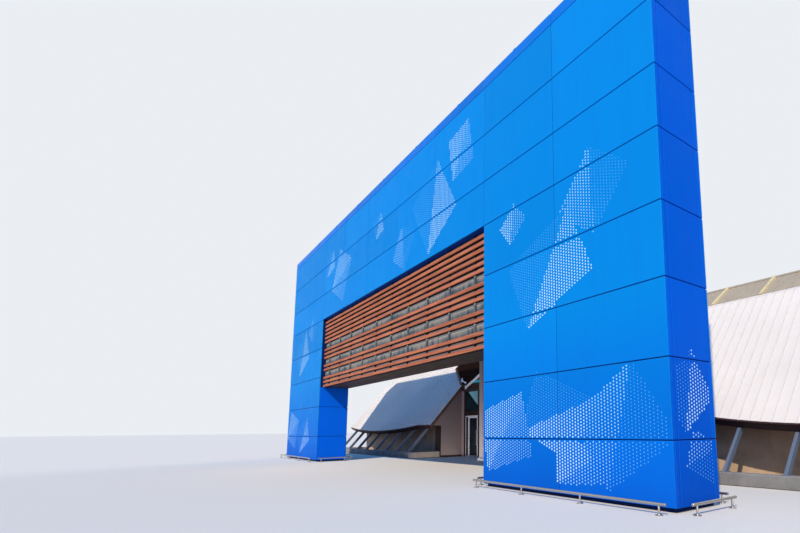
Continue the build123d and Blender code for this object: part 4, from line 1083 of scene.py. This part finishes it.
# Brown trims of the left wall, mirrored to the right one: a cover at the facade's foot, corner, sill and base
# bars, and boards on the return at the wall's front end
TRIM_IN, TRIM_OUT = wall_x - 0.02, wall_x + 0.032
BOARD_HIGH = 0.2
foot_cover = prisms(flat(0, 0.012, -0.27, 0), (wall_x, FACADE_Y + 0.004, FACADE_Z),
                    (wall_x, FACADE_Y + 0.14, FACADE_Z + 0.14 * math.tan(SLOPE)), ACROSS, OUT)
corner_bar = bar_box(TRIM_IN, TRIM_OUT, SIDE_Y - 0.045, SIDE_Y + 0.02, 0.0, SOFFIT_LINE)
sill_bar = bar_box(TRIM_IN, TRIM_OUT, FACADE_Y + 0.03, SIDE_Y + 0.02, SOFFIT_LINE - 0.05, SOFFIT_LINE + 0.01)
base_bar = bar_box(wall_x, wall_x + 0.028, SIDE_Y, NODE_Y, 0.0, 0.11)
return_boards = [bar_box(wall_x - 0.6, wall_x, SIDE_Y - 0.02, SIDE_Y, z, z + BOARD_HIGH)
                 for z in np.arange(0.36, 2.3, BOARD_HIGH)]
piece("side_wall_trims", *both_sides(join(foot_cover, corner_bar, sill_bar, base_bar, *return_boards)),
      barge_brown, "barge_brown")
piece("facade_entrance_flashings", *both_sides(prisms(flat(-0.06, 0.012, 0, 0.014), *slant_edges)),
      white_trim, "white_cladding")

# Dark seams over the boarded wedge, and a trim along its foot
BOARD_SEAM = 0.3
board_x = np.arange(-9.0, 9.01, BOARD_SEAM)
board_foot = NODE_V + 0.12 + np.maximum(0.22, wedge_v(board_x))
piece("boarding_seams", *prisms(SEAM, on_slope(board_x, board_foot), on_slope(board_x, EAVES_V - 0.1), ACROSS,
                                OUT), canopy_lining, "brown_board")
piece("boarding_foot_trim", *prisms(flat(-0.4, 0, 0, 0.02), (-entrance_x + 0.02, NODE_Y, NODE_Z),
                                    (entrance_x - 0.02, NODE_Y, NODE_Z), UP, -ALONG_Y),
      barge_brown, "barge_brown")

# A low row of panes on the foot of the boarding, between brown bars
light_x = np.linspace(-entrance_x + 0.9, entrance_x - 0.9, 9)
light_ends = light_x[[0, -1]]
light_foot, light_head = NODE_V + 0.02, NODE_V + 0.27
piece("head_light_bars", *join(
    prisms(flat(-0.035, 0.035, 0, 0.03), on_slope(light_x, light_foot), on_slope(light_x, light_head), ACROSS,
           OUT),
    prisms(flat(-0.05, 0, 0, 0.032), *on_slope(light_ends, light_head + 0.05), FALL, OUT)),
      brown_frame, "brown_frame")
piece("head_light_panes", *prisms(flat(0, light_head - light_foot, 0.002, 0.014),
                                  *on_slope(light_ends, light_foot), FALL, OUT), mirror_pane, "pane")

# Steel fitting where the slanting edge, the boarding and the brace meet
hub = np.array([-entrance_x - 0.1, NODE_Y + 0.17, NODE_Z + 0.2]) + 0.1 * OUT
lug = hub + (0.62, -0.13, -0.17)
strap = flat(-0.035, 0.035, -0.012, 0.012)
strap_side = np.cross((lug - hub) / np.linalg.norm(lug - hub), OUT)
piece("steel_fittings", *both_sides(join(
    turned([(0, -0.05), (0.05, -0.05), (0.075, -0.03), (0.08, 0), (0.075, 0.03), (0.05, 0.05), (0, 0.05)],
           hub, OUT, 24),
    turned([(0, 0.04), (0.035, 0.04), (0.035, 0.075), (0.028, 0.082), (0, 0.082)], hub, OUT, 6),
    prisms(strap, hub, lug, strap_side, OUT),
    prisms(strap, hub, hub + (-0.33, 0.2, 0.23), strap_side, OUT),
    turned([(0, -0.03), (0.05, -0.03), (0.06, 0), (0.05, 0.03), (0, 0.03)], lug, OUT, 20))),
      brace_silver, "brace_steel")


# Entrance

def pane_frames(name, node_name, width, proud, material, slot, body="building"):
    """Rings of four bars around panes that stand in the x-z plane, on both of their sides."""
    lo, hi = solid_boxes(node_name)
    x0, x1, z0, z1 = lo[:, 0], hi[:, 0], lo[:, 2], hi[:, 2]
    bars = ((x0, x1, z0, z0 + width), (x0, x1, z1 - width, z1), (x0, x0 + width, z0 + width, z1 - width),
            (x1 - width, x1, z0 + width, z1 - width))
    faces = ((lo[:, 1] - proud, lo[:, 1]), (hi[:, 1], hi[:, 1] + proud))
    starts = [points(a, y0, c) for y0, _ in faces for a, _, c, _ in bars]
    ends = [points(b, y1, d) for _, y1 in faces for _, b, _, d in bars]
    piece(name, *chamfered(np.concatenate(starts), np.concatenate(ends), 0.003), material, slot, body)


pane_frames("front_pane_beads", "front_glass", 0.03, 0.03, brown_frame, "brown_frame")
pane_frames("front_pane_gaskets", "front_glass", 0.04, 0.006, gasket, "black_rail")
pane_frames("sidelight_gaskets", "sidelight_glass", 0.012, 0.012, gasket, "black_rail")
pane_frames("door_gaskets", "door_glass", 0.012, 0.012, gasket, "black_rail", "door")

# Kick plates on both faces of the door, and a grooved threshold under it
leaf_lo, leaf_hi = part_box("door_leaf")
glass_lo, glass_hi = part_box("door_glass")
LEAF_PROUD, PLATE_HALF, PLATE_EDGE = 0.017, 0.0015, 0.012
GROOVE_PITCH, GROOVE_BAR = 0.02, 0.016
face_lo, face_hi = glass_lo[1] - LEAF_PROUD, glass_hi[1] + LEAF_PROUD
piece("door_kick_plates", *join(*[
    bar_box(glass_lo[0] + 0.01, glass_hi[0] - 0.01, y - PLATE_HALF, y + PLATE_HALF, leaf_lo[2] + PLATE_EDGE,
            glass_lo[2] - PLATE_EDGE, 0.001) for y in (face_lo, face_hi)]),
      bright_steel, "bright_steel", "door")
piece("door_threshold", *join(*[
    bar_box(leaf_lo[0] - 0.3, leaf_hi[0] + 0.05, y, y + GROOVE_BAR, 0.0, 0.007, 0.002)
    for y in np.arange(face_lo - 0.06, face_hi + 0.05, GROOVE_PITCH)]), bright_steel, "bright_steel")

# Pull handles: upright bars with eased ends, held off the leaf by two posts with round roses
ROSE = [(0, 0), (0.024, 0), (0.024, 0.004), (0.02, 0.007), (0, 0.007)]
meshes = []
for lo, hi in zip(*solid_boxes("door_handles")):
    radius = (hi[0] - lo[0]) / 2
    outside = lo[1] < face_lo - 0.03
    bar_y, face = (lo[1] + radius, face_lo) if outside else (hi[1] - radius, face_hi)
    x, middle, length = (lo[0] + hi[0]) / 2, (lo[2] + hi[2]) / 2, hi[2] - lo[2]
    meshes.append(rod((x, bar_y, lo[2]), (x, bar_y, hi[2]), radius, 20))
    for z in (middle - length / 3, middle + length / 3):
        meshes.append(rod((x, face, z), (x, bar_y, z), 0.01, 14))
        meshes.append(turned(ROSE, (x, face, z), -ALONG_Y if outside else ALONG_Y, 20))
piece("door_pull_handles", *join(*meshes), bright_steel, "bright_steel", "door", smooth=True,
      stands_for=["door_handles"])

# Canopy: edge gutters, ceiling boards, deck ribs, columns and their bases
canopy_lo, canopy_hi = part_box("link_canopy")
ceiling_lo, ceiling_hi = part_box("canopy_ceiling")
GUTTER = [(-0.02, -0.1), (0.1, -0.1), (0.12, -0.08), (0.12, 0.2), (0.1, 0.2), (0.1, -0.07), (0.0, -0.07),
          (0.0, 0.24), (-0.02, 0.24)]
piece("canopy_gutters", *both_sides(prisms(GUTTER, (canopy_hi[0], canopy_lo[1] + 0.02, canopy_lo[2]),
                                           (canopy_hi[0], canopy_lo[1] + 6.2, canopy_lo[2]), ACROSS, UP)),
      canopy_sheet, "canopy_sheet")
BOARD_PITCH, BOARD_WIDE, BOARD_THICK, DECK_PITCH = 0.15, 0.14, 0.018, 0.45
board_y = np.arange(ceiling_lo[1] + 0.02, ceiling_hi[1] - 0.3, BOARD_PITCH)
piece("canopy_ceiling_boards", *chamfered(
    points(ceiling_lo[0] + 0.02, board_y, ceiling_lo[2] - BOARD_THICK),
    points(ceiling_hi[0] - 0.02, board_y + BOARD_WIDE, ceiling_lo[2]), 0.004),
      soffit_wood, "brown_board", tone=box_tones(len(board_y), 21))
deck_x = np.arange(canopy_lo[0] + 0.3, canopy_hi[0] - 0.1, DECK_PITCH)
deck_back = FACADE_Y + (canopy_hi[2] - FACADE_Z) / math.tan(SLOPE) - 0.06
piece("canopy_deck_ribs", *prisms(RIB, points(deck_x, canopy_lo[1] + 0.02, canopy_hi[2]),
                                  points(deck_x, deck_back, canopy_hi[2]), ACROSS, UP),
      canopy_sheet, "canopy_sheet")
boxes_piece("clad_columns", "porch_columns", 0.014, column_beige, "column_beige", 22)
boxes_piece("painted_bases", "column_bases", 0.025, white_base, "white_base", 23)

# A collar round the foot and the head of each column
COLLAR = 0.03
column_lo, column_hi = solid_boxes("porch_columns")
(x0, y0, z0), (x1, y1, z1) = column_lo.T, column_hi.T
collar_lo = np.concatenate([points(x0 - COLLAR, y0 - COLLAR, z) for z in (z0, z1 - 0.09)])
collar_hi = np.concatenate([points(x1 + COLLAR, y1 + COLLAR, z) for z in (z0 + 0.03, z1 - 0.03)])
piece("column_collars", *chamfered(collar_lo, collar_hi, 0.006), column_beige, "column_beige",
      tone=box_tones(len(collar_lo), 24))

# Curbs, and the shoes and bolts at the feet of the struts
SHOE_BOLT = [(0, 0), (0.014, 0), (0.014, 0.012), (0.011, 0.015), (0, 0.015)]
SHOE_THICK = 0.014


def strut_shoes(name, node_name):
    """A plate under each strut's foot, with a bolt near each of its corners."""
    feet = [p[p[:, 2] < p[:, 2].min() + 0.002] for p in solids(node_name)]
    lo, hi = np.array([f.min(axis=0) for f in feet]), np.array([f.max(axis=0) for f in feet])
    plates = chamfered(lo - (0.06, 0.03, 0), hi + (0.06, 0.03, SHOE_THICK), 0.003)
    x = np.column_stack([lo[:, 0] - 0.035, hi[:, 0] + 0.035]).repeat(2, axis=1)
    y = np.tile(np.column_stack([lo[:, 1] + 0.03, hi[:, 1] - 0.03]), 2)
    spots = points(x, y, lo[:, 2:] + SHOE_THICK).reshape(-1, 3)
    piece(name, *join(plates, turned(SHOE_BOLT, spots, UP, 6)), strut_steel, "strut_steel")


strut_shoes("front_strut_shoes", "facade_struts")
strut_shoes("back_strut_shoes", "back_struts")
boxes_piece("curb_stones", "facade_curbs", 0.02, concrete, "concrete", 25)

# Screw heads above and below the middle of each slat, where it crosses an upright
SCREW_OFF = np.array([0, 0, 0.03])
up_lo, up_hi = solid_boxes("fascia_rails")
cross_x, cross_z = np.meshgrid((up_lo[:, 0] + up_hi[:, 0]) / 2, (slat_lo[:, 2] + slat_hi[:, 2]) / 2)
spots = points(cross_x.ravel(), slat_lo[:, 1].min(), cross_z.ravel())
piece("slat_screws", *turned([(0, 0), (0.009, 0), (0.0075, 0.0035), (0, 0.004)],
                             np.concatenate([spots + SCREW_OFF, spots - SCREW_OFF]), -ALONG_Y, 6),
      gasket, "black_rail")


# Stage, light and camera

FLOOR_HALF, FLOOR_Z = 900, -0.001
IMAGE_W, IMAGE_H, SENSOR_W = 800, 533, 36.0
FOCAL_PX, CENTRE_PX = 482.286, (528, 364.4)
EYE = (pier_x + 5.338, front_y - 7.903, 1.554)


def add_object(name, data):
    """An object linked into the scene."""
    obj = bpy.data.objects.new(name, data)
    bpy.context.scene.collection.objects.link(obj)
    return obj


def stage_plane():
    """A plain floor, paler to the camera and in mirrors than in the light that it throws back."""
    mesh = bpy.data.meshes.new("floor")
    corners = flat(-FLOOR_HALF, FLOOR_HALF, -FLOOR_HALF, FLOOR_HALF)
    mesh.from_pydata([(*corner, FLOOR_Z) for corner in corners], [], [(0, 1, 2, 3)])
    material, tree, shader = new_material("plain floor", Roughness=0.9, Specular_IOR_Level=0.1)
    ray = add_node(tree, "ShaderNodeLightPath").outputs
    seen = math_node(tree, "MAXIMUM", ray["Is Camera Ray"], ray["Is Glossy Ray"])
    feed(tree, shader, Base_Color=mix_colour(tree, seen, (0.44, 0.41, 0.37), (0.88, 0.77, 0.62)))
    mesh.materials.append(material)
    add_object("floor", mesh)


def lamp_from(name, way, energy, spread, colour):
    """A lamp at infinity whose light travels along the way given."""
    sun = bpy.data.lights.new(name, "SUN")
    sun.energy, sun.angle, sun.color = energy, math.radians(spread), colour
    way = np.asarray(way, dtype=float) / np.linalg.norm(way)
    side = np.cross(way, UP)
    side /= np.linalg.norm(side)
    turn = np.column_stack([side, np.cross(side, way), -way])
    add_object(name, sun).matrix_world = Matrix(turn.tolist()).to_4x4()


def bounce_lamp():
    """A wide soft lamp that lies behind the portal and faces up: light thrown back by the floor."""
    area = bpy.data.lights.new("bounce lamp", "AREA")
    area.shape, area.size, area.size_y = "RECTANGLE", 9.0, 5.0
    area.energy, area.color = 160.0, (1.0, 0.84, 0.7)
    lamp = add_object("bounce lamp", area)
    lamp.location, lamp.rotation_euler = (-2.6, back_y + 4.0, 0.03), (math.pi, 0, 0)
    lamp.visible_camera = lamp.visible_glossy = False


def light_the_scene():
    """A key lamp from the front right at 39 degrees, soft weak fills, and a plain pale world."""
    lamp_from("key lamp", (-0.56, 1.0, -0.93), 3.15, 0.8, (1.0, 0.945, 0.86))
    lamp_from("low fill", (-1.0, 0.25, -0.03), 0.7, 35, (1.0, 0.88, 0.78))
    lamp_from("left fill", (0.35, 1.0, -0.35), 0.1, 30, (1.0, 0.97, 0.95))
    bounce_lamp()
    lamp_from("back fill", (0.5, -1.0, -0.6), 0.6, 25, (1.0, 0.97, 0.93))
    world = bpy.data.worlds.new("pale world")
    bpy.context.scene.world = world
    world.use_nodes = True
    tree = world.node_tree
    tree.nodes.clear()
    ray = add_node(tree, "ShaderNodeLightPath").outputs
    seen = math_node(tree, "MAXIMUM", ray["Is Camera Ray"],
                     math_node(tree, "MAXIMUM", ray["Is Glossy Ray"], ray["Is Transmission Ray"]))
    light = add_node(tree, "ShaderNodeBackground", Color=(0.065, 0.35, 1.0), Strength=0.67)
    show = add_node(tree, "ShaderNodeBackground", Color=(0.83, 0.86, 0.9), Strength=1.0)
    mix = add_node(tree, "ShaderNodeMixShader", _0=seen, _1=light.outputs[0], _2=show.outputs[0])
    add_node(tree, "ShaderNodeOutputWorld", Surface=mix.outputs[0])


def place_camera():
    """Camera solved from the portal's corners: turned 50.458 degrees left, 7.781 up and 0.589 rolled."""
    yaw, pitch, roll = (math.radians(a) for a in (50.458, 7.781, 0.589))
    base = np.array([[1, 0, 0], [0, 0, -1], [0, 1, 0]])
    turn = np.array([[math.cos(yaw), math.sin(yaw), 0], [-math.sin(yaw), math.cos(yaw), 0], [0, 0, 1]])
    tip = np.array([[1, 0, 0], [0, math.cos(pitch), math.sin(pitch)], [0, -math.sin(pitch), math.cos(pitch)]])
    bank = np.array([[math.cos(roll), math.sin(roll), 0], [-math.sin(roll), math.cos(roll), 0], [0, 0, 1]])
    rows = bank @ base @ tip @ turn
    data = bpy.data.cameras.new("photo camera")
    data.sensor_width, data.clip_end = SENSOR_W, 2000
    data.lens = FOCAL_PX / IMAGE_W * SENSOR_W
    data.shift_x = (IMAGE_W / 2 - CENTRE_PX[0]) / IMAGE_W
    data.shift_y = (CENTRE_PX[1] - IMAGE_H / 2) / IMAGE_W
    matrix = np.eye(4)
    matrix[:3, :3] = np.column_stack([rows[0], -rows[1], -rows[2]])
    matrix[:3, 3] = EYE
    camera = add_object("photo camera", data)
    camera.matrix_world = Matrix(matrix.tolist())
    bpy.context.scene.camera = camera


stage_plane()
light_the_scene()
place_camera()
bpy.context.scene.view_settings.view_transform = "Standard"
